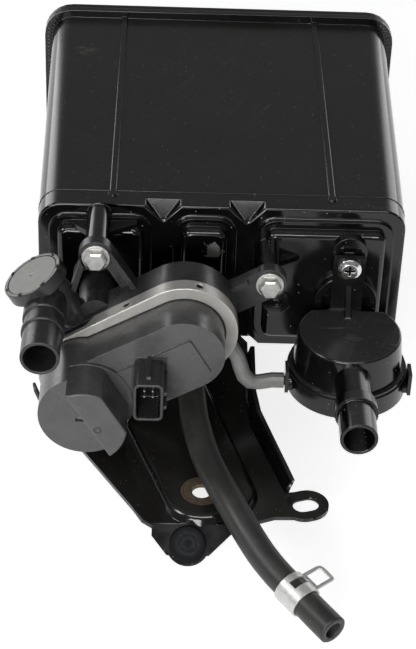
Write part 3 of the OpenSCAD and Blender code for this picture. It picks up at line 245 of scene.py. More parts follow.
@dataclass(frozen=True)
class Scuffs:
    """Fine scratches on what faces up: thin broken lines that run one way."""

    colour: Colour
    length: float
    spacing: float
    width: float
    turn: Point
    strength: float
    gate: Pair = (0.5, 0.62)
    facing: Pair = (0.6, 0.95)
    rough: float = 0.6

    def lay(self, shader: Shader, layers: Layers) -> None:
        """Lay the lines where a slow cloud pattern lets them through."""
        cloud = shader.noise(self.spacing, detail=1.0, turn=self.turn,
                             stretch=(self.length / self.spacing, 1.0, 1.0))
        off = shader.math("ABSOLUTE", shader.math("SUBTRACT", cloud, 0.5))
        line = shader.remap(off, (0.0, self.width), (1.0, 0.0))
        gate = shader.remap(shader.noise(self.length, detail=2.0), self.gate, (0.0, self.strength))
        scratch = shader.math("MULTIPLY", shader.math("MULTIPLY", line, gate), shader.rise(*self.facing))
        layers.cover(shader, scratch, self.colour, self.rough)


@dataclass(frozen=True)
class DustSheenFilm:
    """Settled dust and painted sheen: a dull, paler film on what faces up, which also paints the sheen that
    up-facing faces catch from the light.
    """

    colour: Colour
    strength: float
    rough: float
    cloud: float = 34.0
    thinnest: float = 0.84
    facing: Pair = (0.75, 0.985)

    def lay(self, shader: Shader, layers: Layers) -> None:
        """Lay the dust and painted sheen by how far the surface faces up, thinner in slow clouds."""
        thick = (self.thinnest * self.strength, self.strength)
        cloud = shader.remap(shader.noise(self.cloud, detail=4.0), CLOUD_RANGE, thick)
        dust_and_sheen = shader.math("MULTIPLY", shader.rise(*self.facing), cloud)
        layers.cover(shader, dust_and_sheen, self.colour, self.rough)


@dataclass(frozen=True)
class PalePatch:
    """One pale patch broken up by streaks, used for rubbed places and for a painted reflection."""

    point: Vector
    radius: float
    colour: Colour
    strength: float
    gaps: float = 0.45
    core: float = 0.3
    ragged: float = 0.0
    edge_cloud: float = 3.5
    streak: float = 2.2
    streak_turn: Point = (0.0, 0.0, 20.0)
    streak_stretch: Point = (3.0, 1.0, 1.0)
    streak_edge: float = 0.2
    rough: float = 0.6

    def lay(self, shader: Shader, layers: Layers) -> None:
        """Lay the pale patch, strongest in its core and with a more or less ragged edge."""
        cloud = shader.math("SUBTRACT", shader.noise(self.edge_cloud), 0.5)
        stray = shader.math("MULTIPLY", cloud, self.ragged)
        distance = shader.math("ADD", shader.from_point(self.point), stray)
        near = shader.remap(distance, (self.radius * self.core, self.radius), (self.strength, 0.0))
        streaks = shader.noise(self.streak, detail=4.0, turn=self.streak_turn, stretch=self.streak_stretch)
        broken = shader.remap(streaks, (self.gaps, self.gaps + self.streak_edge), (0.0, 1.0))
        layers.cover(shader, shader.math("MULTIPLY", near, broken), self.colour, self.rough)


@dataclass(frozen=True)
class PaintedShade:
    """Painted shade in a deep hollow: a box about a point, in millimetres, whose colour is darkened."""

    point: Vector
    half: Point
    colour: Colour

    def lay(self, shader: Shader, layers: Layers) -> None:
        """Paint shade over what lies in the box."""
        offset = shader.vector("SUBTRACT", shader.place, self.point)
        split = shader.node("ShaderNodeSeparateXYZ", {0: offset.outputs[0]})
        inside = 1.0
        for entry, half in zip(split.outputs, self.half):
            near = shader.math("LESS_THAN", shader.math("ABSOLUTE", entry), half * MM)
            inside = shader.math("MULTIPLY", inside, near)
        layers.tone = shader.mix(inside, layers.tone, self.colour)


@dataclass(frozen=True)
class Ring:
    """A round worn or moulded band about an axis, with its sizes in millimetres."""

    point: Vector
    axis: Vector
    inner: float
    outer: float
    colour: Colour
    strength: float
    ripple: float = 0.0
    soft: float = 0.4
    rough: float = 0.7
    wear: float = 1.6
    wear_span: Pair = (0.3, 0.65)
    wear_result: Pair = (0.35, 1.0)
    trough: float = 0.45

    def lay(self, shader: Shader, layers: Layers) -> None:
        """Lay the band, with worn rings in it where it has a ripple."""
        distance = shader.from_axis(self.point, self.axis)
        start = shader.remap(distance, (self.inner - self.soft, self.inner), (0.0, 1.0))
        stop = shader.remap(distance, (self.outer, self.outer + self.soft), (1.0, 0.0))
        band = shader.math("MULTIPLY", shader.math("MULTIPLY", start, stop), self.strength)
        if self.ripple:
            wave = shader.math("SINE", shader.math("MULTIPLY", distance, 2.0 * math.pi / self.ripple))
            rings = shader.remap(wave, (-1.0, 1.0), (self.trough, 1.0))
            worn = shader.remap(shader.noise(self.wear), self.wear_span, self.wear_result)
            band = shader.math("MULTIPLY", band, shader.math("MULTIPLY", worn, rings))
        layers.cover(shader, band, self.colour, self.rough)


@dataclass(frozen=True)
class Finish:
    """One surface finish: its colour and roughness drift in patches, over a grain of some size and depth."""

    name: str
    slot: str
    colour: Colour
    shade: Colour
    rough: float
    patch: float
    drift: float = 0.05
    metal: float = 0.0
    gloss: float = 0.5
    grain: float = 0.6
    depth: float = 0.02
    marks: tuple[Mark, ...] = ()

    def material(self) -> bpy.types.Material:
        """Return the finish's material, made the first time that it is asked for."""
        return bpy.data.materials.get(self.name) or self.build()

    def build(self) -> bpy.types.Material:
        """Build the finish's node material."""
        shader = Shader(self.name)
        cloud = shader.noise(self.patch, detail=4.0)
        share = shader.remap(cloud, CLOUD_RANGE, (0.0, 1.0))
        rough = shader.remap(cloud, CLOUD_RANGE, (self.rough - self.drift, self.rough + self.drift))
        layers = Layers(shader.mix(share, self.colour, self.shade), rough)
        for mark in self.marks:
            mark.lay(shader, layers)
        bump = shader.node("ShaderNodeBump", {
            "Height": shader.noise(self.grain, detail=2.0), "Strength": 1.0, "Distance": self.depth * MM})
        return shader.dress({
            "Base Color": layers.tone, "Roughness": layers.rough, "Normal": bump.outputs[0],
            "Metallic": self.metal, "Specular IOR Level": self.gloss})


DUST: Colour = (0.5, 0.49, 0.46)
# Dust colour that also paints the sheen of up-facing faces on the black case and cover.
HAZE_AND_SHEEN: Colour = (0.0325, 0.032, 0.0304)
SCRATCH: Colour = (0.19, 0.188, 0.182)


class Finishes:
    """The finishes of this canister."""

    CASE = Finish(
        "case_black", "case_plastic", (0.004, 0.004, 0.0042), grey(0.006),
        rough=0.12, drift=0.03, patch=30.0, grain=0.5, depth=0.004,
        marks=(DustSheenFilm(HAZE_AND_SHEEN, strength=0.9, rough=0.34),
               Scuffs(SCRATCH, length=70.0, spacing=5.0, width=0.005, turn=(0.0, 0.0, 64.0), strength=0.4),
               Scuffs(SCRATCH, length=48.0, spacing=4.2, width=0.005, turn=(0.0, 0.0, -38.0), strength=0.35),
               PalePatch(at(-76.5, 161.9, 0.0), radius=8.0, colour=(0.16, 0.155, 0.14), strength=0.8),
               # Painted reflection: a pale patch on the centre dome's face.
               PalePatch(at(-4.3, -8.0, -21.2), radius=5.0, colour=(0.24, 0.237, 0.225), strength=0.9, gaps=0.2,
                     core=0.86, ragged=9.0),
               Specks(DUST, spacing=3.0, radius=0.34, share=0.3, strength=0.9)))
    COVER = Finish(
        "cover_black", "case_plastic", (0.006, 0.006, 0.0062), grey(0.009),
        rough=0.26, patch=25.0, gloss=0.36, grain=0.5, depth=0.01,
        marks=(DustSheenFilm(HAZE_AND_SHEEN, strength=0.6, rough=0.42),
               Specks(DUST, spacing=3.0, radius=0.28, share=0.34, strength=0.7)))
    PUMP = Finish(
        "pump_charcoal", "pump_plastic", (0.098, 0.098, 0.099), grey(0.118),
        rough=0.27, drift=0.04, patch=9.0, grain=0.32, depth=0.016,
        marks=(Specks((0.4, 0.39, 0.37), spacing=2.6, radius=0.24, share=0.25),
               # Painted shade in the connector's socket, darker still at its back.
               PaintedShade(at(-34.6, -88.5, -49.4), half=(8.6, 12.0, 12.5), colour=(0.05, 0.05, 0.0505)),
               PaintedShade(at(-34.6, -86.0, -49.4), half=(5.4, 11.0, 9.1), colour=grey(0.006)),
               Ring(at(-58.5, -101.0, -63.8), BACK, inner=1.3, outer=1.8, colour=grey(0.035), strength=0.9)))
    BASE = Finish(
        "pump_base_charcoal", "pump_plastic", (0.035, 0.035, 0.0354), grey(0.047),
        rough=0.3, patch=9.0, gloss=0.45, grain=0.35, depth=0.014,
        marks=(Specks((0.34, 0.33, 0.31), spacing=2.6, radius=0.24, share=0.25),
               Scuffs(grey(0.14), length=24.0, spacing=2.2, width=0.006, turn=(0.0, 0.0, 30.0), strength=0.3)))
    BAND = Finish(
        "band_satin", "band_steel", (0.56, 0.547, 0.512), (0.62, 0.606, 0.568),
        rough=0.38, drift=0.025, patch=6.0, metal=0.45, grain=0.2, depth=0.002,
        marks=(Specks((0.25, 0.24, 0.22), spacing=2.4, radius=0.2, share=0.12, strength=0.4),))
    ZINC = Finish(
        "bright_zinc", "zinc_steel", (0.46, 0.46, 0.44), (0.58, 0.575, 0.55),
        rough=0.44, drift=0.08, patch=2.0, metal=1.0, grain=0.2, depth=0.008,
        marks=(Specks((0.12, 0.11, 0.1), spacing=1.6, radius=0.2, share=0.22),))
    CHROME = Finish(
        "bright_chrome", "zinc_steel", (0.7, 0.7, 0.69), (0.78, 0.78, 0.77),
        rough=0.16, drift=0.04, patch=2.0, metal=1.0, grain=0.2, depth=0.002,
        # Painted shade in the screw's recess.
        marks=(PaintedShade(at(64.4, -17.3, -24.0), half=(2.7, 1.3, 2.7), colour=grey(0.03)),))
    CLAMP = Finish(
        "clamp_zinc", "zinc_steel", (0.68, 0.684, 0.662), (0.78, 0.78, 0.76),
        rough=0.42, drift=0.07, patch=2.2, metal=0.45, grain=0.3, depth=0.012,
        marks=(Specks((0.2, 0.19, 0.17), spacing=1.8, radius=0.2, share=0.2, strength=0.5),))
    DISC = Finish(
        "disc_grey", "disc_plastic", (0.57, 0.565, 0.54), (0.65, 0.642, 0.612),
        rough=0.5, patch=5.0, gloss=0.3, grain=0.3, depth=0.012,
        marks=(Specks((0.2, 0.19, 0.18), spacing=2.2, radius=0.22, share=0.25),
               Scuffs((0.3, 0.3, 0.29), length=16.0, spacing=1.8, width=0.008, turn=(0.0, 30.0, 20.0),
                      strength=0.5)))
    VENT = Finish(
        "vent_black", "vent_plastic", (0.005, 0.005, 0.0052), grey(0.008),
        rough=0.15, drift=0.04, patch=14.0, grain=0.45, depth=0.005,
        # Dust and painted sheen on the vent's up-facing faces.
        marks=(DustSheenFilm((0.066, 0.066, 0.065), strength=0.8, rough=0.3),
               Scuffs(SCRATCH, length=34.0, spacing=2.6, width=0.008, turn=(0.0, 0.0, 62.0), strength=0.5),
               Scuffs(SCRATCH, length=26.0, spacing=2.2, width=0.007, turn=(0.0, 0.0, -20.0), strength=0.5),
               PalePatch(at(66.5, -41.0, -50.0), radius=6.0, colour=(0.12, 0.118, 0.11), strength=0.6),
               Specks(DUST, spacing=2.6, radius=0.3, share=0.28, strength=0.8)))
    LINK = Finish(
        "link_grey", "link_rubber", (0.25, 0.25, 0.246), (0.3, 0.3, 0.295),
        rough=0.4, drift=0.06, patch=5.0, gloss=0.4, grain=0.4, depth=0.012,
        marks=(Specks(DUST, spacing=1.9, radius=0.2, share=0.2, strength=0.4),))
    BRACKET = Finish(
        "bracket_black", "bracket_paint", grey(0.0045), (0.0075, 0.0073, 0.0068),
        rough=0.17, patch=12.0, grain=1.2, depth=0.012,
        # Dust and painted sheen on the bracket's up-facing faces, standing in for what they reflect.
        marks=(DustSheenFilm((0.05, 0.0475, 0.043), strength=0.5, rough=0.26),
               Specks((0.42, 0.41, 0.38), spacing=2.2, radius=0.26, share=0.34, strength=0.8),
               Ring(at(*ORIGIN), UP, inner=4.4, outer=9.8, colour=(0.30, 0.205, 0.125), strength=1.0,
                    ripple=1.55)))
    BUMPER = Finish(
        "bumper_slate", "bumper_rubber", (0.011, 0.0116, 0.0128), (0.0145, 0.015, 0.0165),
        rough=0.6, drift=0.06, patch=6.0, gloss=0.06, grain=0.5,
        marks=(Specks(DUST, spacing=2.2, radius=0.22, share=0.3, strength=0.5),
               Ring(at(-14.2, -142.0, -97.4), UP - BACK, inner=1.6, outer=6.2, colour=(0.046, 0.048, 0.052),
                    strength=0.8, ripple=2.2)))
    HOSE = Finish(
        "hose_black", "hose_rubber", (0.041, 0.0406, 0.0392), (0.053, 0.0523, 0.05),
        rough=0.44, drift=0.06, patch=10.0, gloss=0.36, grain=0.5, depth=0.025,
        marks=(Specks(DUST, spacing=2.2, radius=0.24, share=0.3),
               Scuffs((0.16, 0.157, 0.15), length=26.0, spacing=2.4, width=0.008, turn=(0.0, 0.0, -60.0),
                      strength=0.4)))
    BRASS = Finish("pin_brass", "brass", (0.55, 0.46, 0.26), (0.62, 0.53, 0.32),
                   rough=0.3, drift=0.06, patch=2.0, metal=1.0)
    PIN = Finish("pin_tin", "brass", (0.42, 0.41, 0.37), (0.5, 0.49, 0.44),
                 rough=0.34, drift=0.06, patch=2.0, metal=0.6)
    SEAL = Finish("seal_black", "seal_rubber", grey(0.012), grey(0.018),
                  rough=0.6, patch=4.0)
    FELT = Finish("filter_felt", "felt", (0.42, 0.40, 0.35), (0.5, 0.48, 0.42),
                  rough=0.9, drift=0.04, patch=3.0, gloss=0.2, grain=0.25, depth=0.12)
    CARBON = Finish("carbon_grains", "carbon", grey(0.010), grey(0.03),
                    rough=0.7, drift=0.1, patch=1.2, grain=1.6, depth=0.5)
    PLATE = Finish("plate_grey", "plate_plastic", grey(0.07), grey(0.09),
                   rough=0.5, patch=8.0)
    SPRING = Finish("spring_bright", "spring_steel", grey(0.42), grey(0.5),
                    rough=0.35, patch=2.0, metal=1.0)
    BOARD = Finish("board_green", "board", (0.02, 0.11, 0.05), (0.03, 0.14, 0.07),
                   rough=0.45, patch=4.0)


@dataclass(frozen=True)
class EdgeRound:
    """How far the edges of a solid are rounded, in how many steps, and from which fold in degrees."""

    radius: float
    steps: int = 2
    fold: float = 30.0
    room: float = 1.02
    shares: tuple[float, ...] = (1.0, 0.5, 0.2)

    def folds(self, shape: bmesh.types.BMesh) -> list[bmesh.types.BMEdge]:
        """Return the edges of a shape that are folded enough to be rounded."""
        least = math.radians(self.fold)
        return [e for e in shape.edges if len(e.link_faces) == 2 and e.calc_face_angle(0.0) > least]

    def runs(self, shape: bmesh.types.BMesh, radius: float) -> list[list[bmesh.types.BMEdge]]:
        """Return the edges that have room for a radius, in runs that touch no other run."""
        folded = dict.fromkeys(self.folds(shape))
        left = dict.fromkeys(e for e in folded if all(
            n in folded or n.calc_length() > self.room * radius for v in e.verts for n in v.link_edges))
        runs = []
        while left:
            reach, run = [next(iter(left))], []
            del left[reach[0]]
            while reach:
                run.append(reach.pop())
                near = dict.fromkeys(n for v in run[-1].verts for n in v.link_edges if n in left)
                for edge in near:
                    del left[edge]
                reach.extend(near)
            runs.append(run)
        return runs

    def cut(self, shape: bmesh.types.BMesh) -> None:
        """Round the edges of a shape: fully where there is room, then those that have room for less."""
        for share in self.shares:
            radius = self.radius * share * MM
            for run in self.runs(shape, radius):
                bmesh.ops.bevel(shape, geom=[e for e in run if e.is_valid], offset=radius, offset_type="OFFSET",
                                segments=self.steps, profile=0.5, affect="EDGES", clamp_overlap=True)


# Farther than anything on the part, in millimetres.
FAR = 500.0


@dataclass(frozen=True)
class FoldRound(EdgeRound):
    """A rounder set of edges: those that lie in a box of the case's frame, in millimetres."""

    low: Point = (-FAR, -FAR, -FAR)
    high: Point = (FAR, FAR, FAR)
    clear_of: Point = (0.0, 0.0, 0.0)
    clear: float = 0.0
    longest: float = FAR

    def folds(self, shape: bmesh.types.BMesh) -> list[bmesh.types.BMEdge]:
        """Return the folded edges inside the box that keep clear of a point and aren't too long."""
        low, high, middle = at(*self.low), at(*self.high), at(*self.clear_of)
        chosen = []
        for edge in super().folds(shape):
            ends = [v.co for v in edge.verts]
            inside = all(low[k] <= end[k] <= high[k] for end in ends for k in range(3))
            apart = all((end - middle).length >= self.clear * MM for end in ends)
            if inside and apart and edge.calc_length() <= self.longest * MM:
                chosen.append(edge)
        return chosen


class Edge(Enum):
    """The ways in which edges are broken on this part."""

    SHEET = EdgeRound(0.22, steps=2)
    TERMINAL = EdgeRound(0.12, steps=1)
    HEAD = EdgeRound(0.35, steps=3)
    ROLLED = EdgeRound(0.55, steps=3)
    MOULDED = EdgeRound(0.5, steps=3)
    PRESSED = EdgeRound(0.7, steps=3, fold=20.0)


class Pivot(Enum):
    """What the beads of a row turn about as they follow its line."""

    DEPTH = "Y"
    ANY = "AUTO"


# Lengths in metres below which a solid's mesh is joined up, before and after its edges are rounded.
JOIN, SPLINTER, SLIVER = 3e-6, 2e-5, 4e-6
FLAT = math.radians(0.6)
STALE = ("custom_normal", "sharp_edge", "sharp_face")


def rounded_copy(node: str, rounds: Sequence[EdgeRound]) -> bpy.types.Mesh:
    """Return a smooth copy of a solid's mesh, with its triangles joined and its edges rounded in turn."""
    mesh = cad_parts[node].data.copy()
    mesh.materials.clear()
    shape = bmesh.new()
    shape.from_mesh(mesh)
    bmesh.ops.remove_doubles(shape, verts=shape.verts, dist=JOIN)
    bmesh.ops.dissolve_degenerate(shape, edges=shape.edges, dist=SPLINTER)
    bmesh.ops.dissolve_limit(shape, angle_limit=FLAT, verts=shape.verts, edges=shape.edges)
    for edges in rounds:
        edges.cut(shape)
    bmesh.ops.remove_doubles(shape, verts=shape.verts, dist=SLIVER)
    bmesh.ops.dissolve_degenerate(shape, edges=shape.edges, dist=SLIVER)
    shape.to_mesh(mesh)
    shape.free()
    for name in [a.name for a in mesh.attributes if a.name in STALE]:
        mesh.attributes.remove(mesh.attributes[name])
    mesh.shade_smooth()
    return mesh


def fixed_mesh(piece: bpy.types.Object) -> None:
    """Put the result of a linked piece's modifiers into its mesh and take them off."""
    bpy.context.view_layer.update()
    graph = bpy.context.evaluated_depsgraph_get()
    result = piece.evaluated_get(graph)
    mesh = bpy.data.meshes.new_from_object(result, preserve_all_data_layers=True, depsgraph=graph)
    piece.modifiers.clear()
    piece.data = mesh


def linked(name: str, mesh: bpy.types.Mesh) -> bpy.types.Object:
    """Return a new object of a mesh, in the scene and at the origin."""
    piece = bpy.data.objects.new(name, mesh)
    bpy.context.scene.collection.objects.link(piece)
    return piece


def ring(middle: Vector, side: Vector, rise: Vector, radius: float, count: int) -> list[Vector]:
    """Return points round a circle in the plane of two directions, with its radius in metres."""
    angles = [2.0 * math.pi * k / count for k in range(count)]
    return [middle + radius * (math.cos(a) * side + math.sin(a) * rise) for a in angles]


def circle(middle: Vector, axis: Vector, radius: float, count: int = 48) -> list[Vector]:
    """Return points round a circle about an axis, with its radius in millimetres."""
    side = axis.orthogonal().normalized()
    return ring(middle, side, axis.normalized().cross(side), radius * MM, count)


def swept(name: str, rings: Sequence[Sequence[Vector]], closed: bool) -> bpy.types.Mesh:
    """Return a smooth mesh that joins rings of points by faces.

    Args:
        name: The mesh's name.
        rings: The rings, each with as many points as the others.
        closed: Whether the last ring joins the first; if not, a face fills each of the two.
    """
    shape = bmesh.new()
    corners = [[shape.verts.new(point) for point in points] for points in rings]
    sides = len(corners[0])
    for low, high in zip(corners, corners[1:] + (corners[:1] if closed else [])):
        for k in range(sides):
            after = (k + 1) % sides
            shape.faces.new((low[k], high[k], high[after], low[after]))
    if not closed:
        shape.faces.new(corners[0])
        shape.faces.new(corners[-1])
    bmesh.ops.recalc_face_normals(shape, faces=shape.faces)
    mesh = bpy.data.meshes.new(name)
    shape.to_mesh(mesh)
    shape.free()
    mesh.shade_smooth()
    return mesh


class SubAssembly:
    """A group of pieces that is built and dressed together."""

    RIDGE_SIDES = 8
    RIDGE_END = 0.6

    def keep(self, piece: bpy.types.Object, finish: Finish) -> bpy.types.Object:
        """Give a finished piece its material and body, and return it."""
        piece.data.materials.clear()
        piece.data.materials.append(finish.material())
        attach(piece, BODY)
        LOG.info("%s: %d faces, %s", piece.name, len(piece.data.polygons), finish.name)
        return piece

    def skin(self, node: str, finish: Finish, edge: Edge, folds: Sequence[FoldRound] = ()) -> bpy.types.Object:
        """Stand a copy with rounded edges in for a solid, and return the copy.

        Args:
            node: The solid's name.
            finish: The copy's finish.
            edge: How its edges are broken.
            folds: The edges that are rounder than the rest.
        """
        piece = linked(f"{node}_skin", rounded_copy(node, (*folds, edge.value)))
        flats = piece.modifiers.new("flats", "WEIGHTED_NORMAL")
        flats.keep_sharp = True
        fixed_mesh(piece)
        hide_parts(node)
        return self.keep(piece, finish)

    def ridge(self, name: str, line: Sequence[Vector], axis: Vector, radius: float, finish: Finish,
              closed: bool = True) -> None:
        """Sweep a fine round ridge along a line, half sunk in the surface below.

        Args:
            name: The ridge's name.
            line: Its points, in one plane.
            axis: The direction across that plane.
            radius: Its radius in millimetres.
            finish: Its finish.
            closed: Whether the line runs back to its start; if not, the ridge is thinner at its ends.
        """
        last = len(line) - 1
        rings = []
        for i, place in enumerate(line):
            after = line[(i + 1) % len(line)] if closed else line[min(i + 1, last)]
            before = line[i - 1] if closed else line[max(i - 1, 0)]
            out = (after - before).normalized().cross(axis)
            size = radius * MM * (1.0 if closed or 0 < i < last else self.RIDGE_END)
            rings.append(ring(place, out, axis, size, self.RIDGE_SIDES))
        self.keep(linked(name, swept(name, rings, closed)), finish)

    def paint(self, node: str, finish: Finish) -> None:
        """Give a solid that stays a better material."""
        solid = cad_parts[node]
        solid.data.materials.clear()
        solid.data.materials.append(finish.material())


@dataclass
class PurgeHose(SubAssembly):
    """The free rubber hose under the pump, with its spring clamp."""

    radius: float = 7.0
    bore: float = 4.1
    chamfer: float = 0.5
    bore_chamfer: float = 0.6
    sharp: float = 60.0
    sides: int = 48
    steps: int = 7
    ear: FoldRound = FoldRound(2.2, steps=5, fold=60.0, clear_of=(35.75, -176.5, -95.25), clear=11.0,
                               longest=1.1)
    route: tuple[Point, ...] = (
        (-14.0, -10.5, -74.0), (-14.0, -22.0, -74.0), (-14.0, -34.0, -74.0), (-14.0, -47.0, -74.6),
        (-13.0, -60.0, -75.8), (-12.0, -72.0, -77.0), (-9.8, -84.0, -78.4), (-6.8, -97.0, -79.6),
        (-3.2, -109.0, -80.2), (1.0, -121.0, -80.4), (5.5, -131.0, -81.4), (10.0, -140.0, -83.8),
        (14.8, -148.5, -86.8), (20.0, -156.5, -90.0), (26.0, -164.5, -92.6), (32.5, -172.5, -94.5),
        (39.0, -180.5, -96.0), (45.5, -189.0, -97.0), (51.5, -197.0, -97.6))

    def centreline(self) -> list[Vector]:
        """Return a smooth line through the route's points."""
        knots = [at(*p) for p in self.route]
        ends = [2 * knots[0] - knots[1], *knots, 2 * knots[-1] - knots[-2]]
        line = []
        for a, b, c, d in zip(ends, ends[1:], ends[2:], ends[3:]):
            for i in range(self.steps):
                t = i / self.steps
                line.append(0.5 * (2 * b + (c - a) * t + (2 * a - 5 * b + 4 * c - d) * t * t
                                   + (3 * b - a - 3 * c + d) * t * t * t))
        return [*line, knots[-1]]

    def tube(self, line: Sequence[Vector]) -> bpy.types.Mesh:
        """Sweep a hollow hose with cut ends: out along its outside and back along its bore."""
        outer, inner, cut = self.radius * MM, self.bore * MM, self.chamfer * MM
        last = len(line) - 1
        tangents = [(line[min(i + 1, last)] - line[max(i - 1, 0)]).normalized() for i in range(len(line))]
        along = list(zip(line, tangents))
        end, ahead = along[-1]
        stations = [(place, tangent, outer) for place, tangent in along[:-1]]
        stations += [(end - ahead * cut, ahead, outer), (end, ahead, outer - cut),
                     (end, ahead, inner + self.bore_chamfer * cut),
                     (end - ahead * self.bore_chamfer * cut, ahead, inner)]
        stations += [(place, tangent, inner) for place, tangent in reversed(along[:-1])]
        rings = []
        for place, tangent, radius in stations:
            side = tangent.cross(UP).normalized()
            rings.append(ring(place, side, side.cross(tangent), radius, self.sides))
        mesh = swept("purge_hose_skin", rings, closed=True)
        mesh.set_sharp_from_angle(angle=math.radians(self.sharp))
        return mesh

    def build(self) -> None:
        line = self.centreline()
        hose = linked("purge_hose_skin", self.tube(line))
        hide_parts("purge_hose")
        self.keep(hose, Finishes.HOSE)
        clamp = self.skin("hose_clamp", Finishes.CLAMP, Edge.SHEET, (self.ear,))


@dataclass
class BeadRow(SubAssembly):
    """Small moulded beads at an even step along a line, with their half sizes in millimetres."""

    name: str
    line: Sequence[Vector]
    pivot: Pivot
    count: int
    size: Point
    finish: Finish
    closed: bool = True
    segments: int = 10
    rings: int = 6

    def tree(self) -> bpy.types.NodeTree:
        """Return the node group that sets the beads along the line."""
        group = bpy.data.node_groups.new(f"{self.name}_beads", "GeometryNodeTree")
        inputs = {"Geometry": "Geometry", "Count": "Int", "Size": "Vector", "Material": "Material"}
        for name, kind in inputs.items():
            group.interface.new_socket(name, in_out="INPUT", socket_type=f"NodeSocket{kind}")
        group.interface.new_socket("Geometry", in_out="OUTPUT", socket_type="NodeSocketGeometry")
        kinds = ("NodeGroupInput", "GeometryNodeMeshToCurve", "GeometryNodeResampleCurve",
                 "GeometryNodeCurveToPoints", "FunctionNodeAlignRotationToVector", "GeometryNodeMeshUVSphere",
                 "GeometryNodeInstanceOnPoints", "GeometryNodeRealizeInstances", "GeometryNodeSetShadeSmooth",
                 "GeometryNodeSetMaterial", "NodeGroupOutput")
        given, curve, even, points, turn, bead, copies, real, smooth, paint, result = (
            group.nodes.new(kind) for kind in kinds)
        points.mode = "EVALUATED"
        turn.axis, turn.pivot_axis = "X", self.pivot.value
        for name, value in (("Segments", self.segments), ("Rings", self.rings), ("Radius", 1.0)):
            bead.inputs[name].default_value = value
        for source, output, target, entry in (
                (given, "Geometry", curve, "Mesh"), (curve, "Curve", even, "Curve"),
                (given, "Count", even, "Count"), (even, "Curve", points, "Curve"),
                (points, "Tangent", turn, "Vector"), (points, "Points", copies, "Points"),
                (bead, "Mesh", copies, "Instance"), (turn, "Rotation", copies, "Rotation"),
                (given, "Size", copies, "Scale"), (copies, "Instances", real, "Geometry"),
                (real, "Geometry", smooth, "Geometry"), (smooth, "Geometry", paint, "Geometry"),
                (given, "Material", paint, "Material"), (paint, "Geometry", result, "Geometry")):
            group.links.new(source.outputs[output], target.inputs[entry])
        return group

    def build(self) -> None:
        """Set the beads, and keep them as a plain mesh."""
        mesh = bpy.data.meshes.new(self.name)
        count = len(self.line)
        steps = count if self.closed else count - 1
        mesh.from_pydata(self.line, [(i, (i + 1) % count) for i in range(steps)], [])
        piece = linked(self.name, mesh)
        group = self.tree()
        sockets = {i.name: i.identifier for i in group.interface.items_tree if i.in_out == "INPUT"}
        beads = piece.modifiers.new("beads", "NODES")
        beads.node_group = group
        beads[sockets["Count"]] = self.count
        beads[sockets["Size"]] = tuple(v * MM for v in self.size)
        beads[sockets["Material"]] = self.finish.material()
        fixed_mesh(piece)
        self.keep(piece, self.finish)


@dataclass
class CarbonCase(SubAssembly):
    """The drafted case with its three domes, its welded rear cover and what it holds."""

    front: Pair = (186.0, 85.0)
    rear: Pair = (196.0, 98.0)
    depth: float = 202.0
    corner: float = 12.0
    lip: float = 4.7
    seam: float = 13.0
    seam_radius: float = 0.28
    bead_step: float = 2.3
    bead: Pair = (0.55, 0.5)
    bead_margin: float = 0.35
    # The places in the flange's outline where each row of beads starts and stops.
    right_beads: tuple[int, int] = (39, 7)
    left_beads: tuple[int, int] = (15, 27)
    rim: FoldRound = FoldRound(1.3, steps=4, fold=25.0, low=(-95.0, -0.3, -86.0), high=(95.0, 0.3, 1.0))
    step: FoldRound = FoldRound(0.9, steps=3, fold=25.0, low=(-95.0, -2.8, -86.0), high=(95.0, -2.2, 1.0))

    def outline(self, y: float, out: float, steps: int = 10) -> list[Vector]:
        """Return the case's outline as a closed line of points.

        Args:
            y: Its distance behind the front rim.
            out: How far it stands outside the wall.
            steps: How many steps each corner has.
        """
        share = min(y / self.depth, 1.0)
        half = (self.front[0] + (self.rear[0] - self.front[0]) * share) / 2 + out
        low = -(self.front[1] + (self.rear[1] - self.front[1]) * share) - out
        radius = self.corner + out
        line = []
        for x, z, start in ((half - radius, out - radius, 0), (radius - half, out - radius, 90),
                            (radius - half, low + radius, 180), (half - radius, low + radius, 270)):
            for k in range(steps + 1):
                a = math.radians(start + 90.0 * k / steps)
                line.append(at(x + radius * math.cos(a), y, z + radius * math.sin(a)))
        return line

    def flange_beads(self) -> None:
        """Set the rows of beads round the two sides of the rear flange."""
        around = self.outline(self.depth, self.lip / 2)
        size = (*self.bead, self.lip / 2 - self.bead_margin)
        for side, (start, stop) in (("right", self.right_beads), ("left", self.left_beads)):
            line = around[start:stop] if start < stop else around[start:] + around[:stop]
            length = sum((b - a).length for a, b in zip(line, line[1:])) / MM
            BeadRow(f"flange_beads_{side}", line, Pivot.DEPTH, round(length / self.bead_step), size,
                    Finishes.CASE, closed=False).build()

    def build(self) -> None:
        """Build the case's shell and dress what lies inside."""
        self.skin("case", Finishes.CASE, Edge.MOULDED, (self.rim, self.step))
        self.skin("rear_cover", Finishes.COVER, Edge.MOULDED)
        self.skin("boss_inserts", Finishes.BRASS, Edge.TERMINAL)
        self.ridge("case_parting_line", self.outline(self.seam, 0.0), BACK, self.seam_radius, Finishes.CASE)
        self.flange_beads()
        for chamber in ("left", "centre", "right"):
            self.paint(f"carbon_bed_{chamber}", Finishes.CARBON)
            self.paint(f"front_pad_{chamber}", Finishes.FELT)
            self.paint(f"rear_pad_{chamber}", Finishes.FELT)
            self.paint(f"retainer_plate_{chamber}", Finishes.PLATE)
        for springs in ("bed_springs_left", "bed_spring_centre", "bed_springs_right"):
            self.paint(springs, Finishes.SPRING)


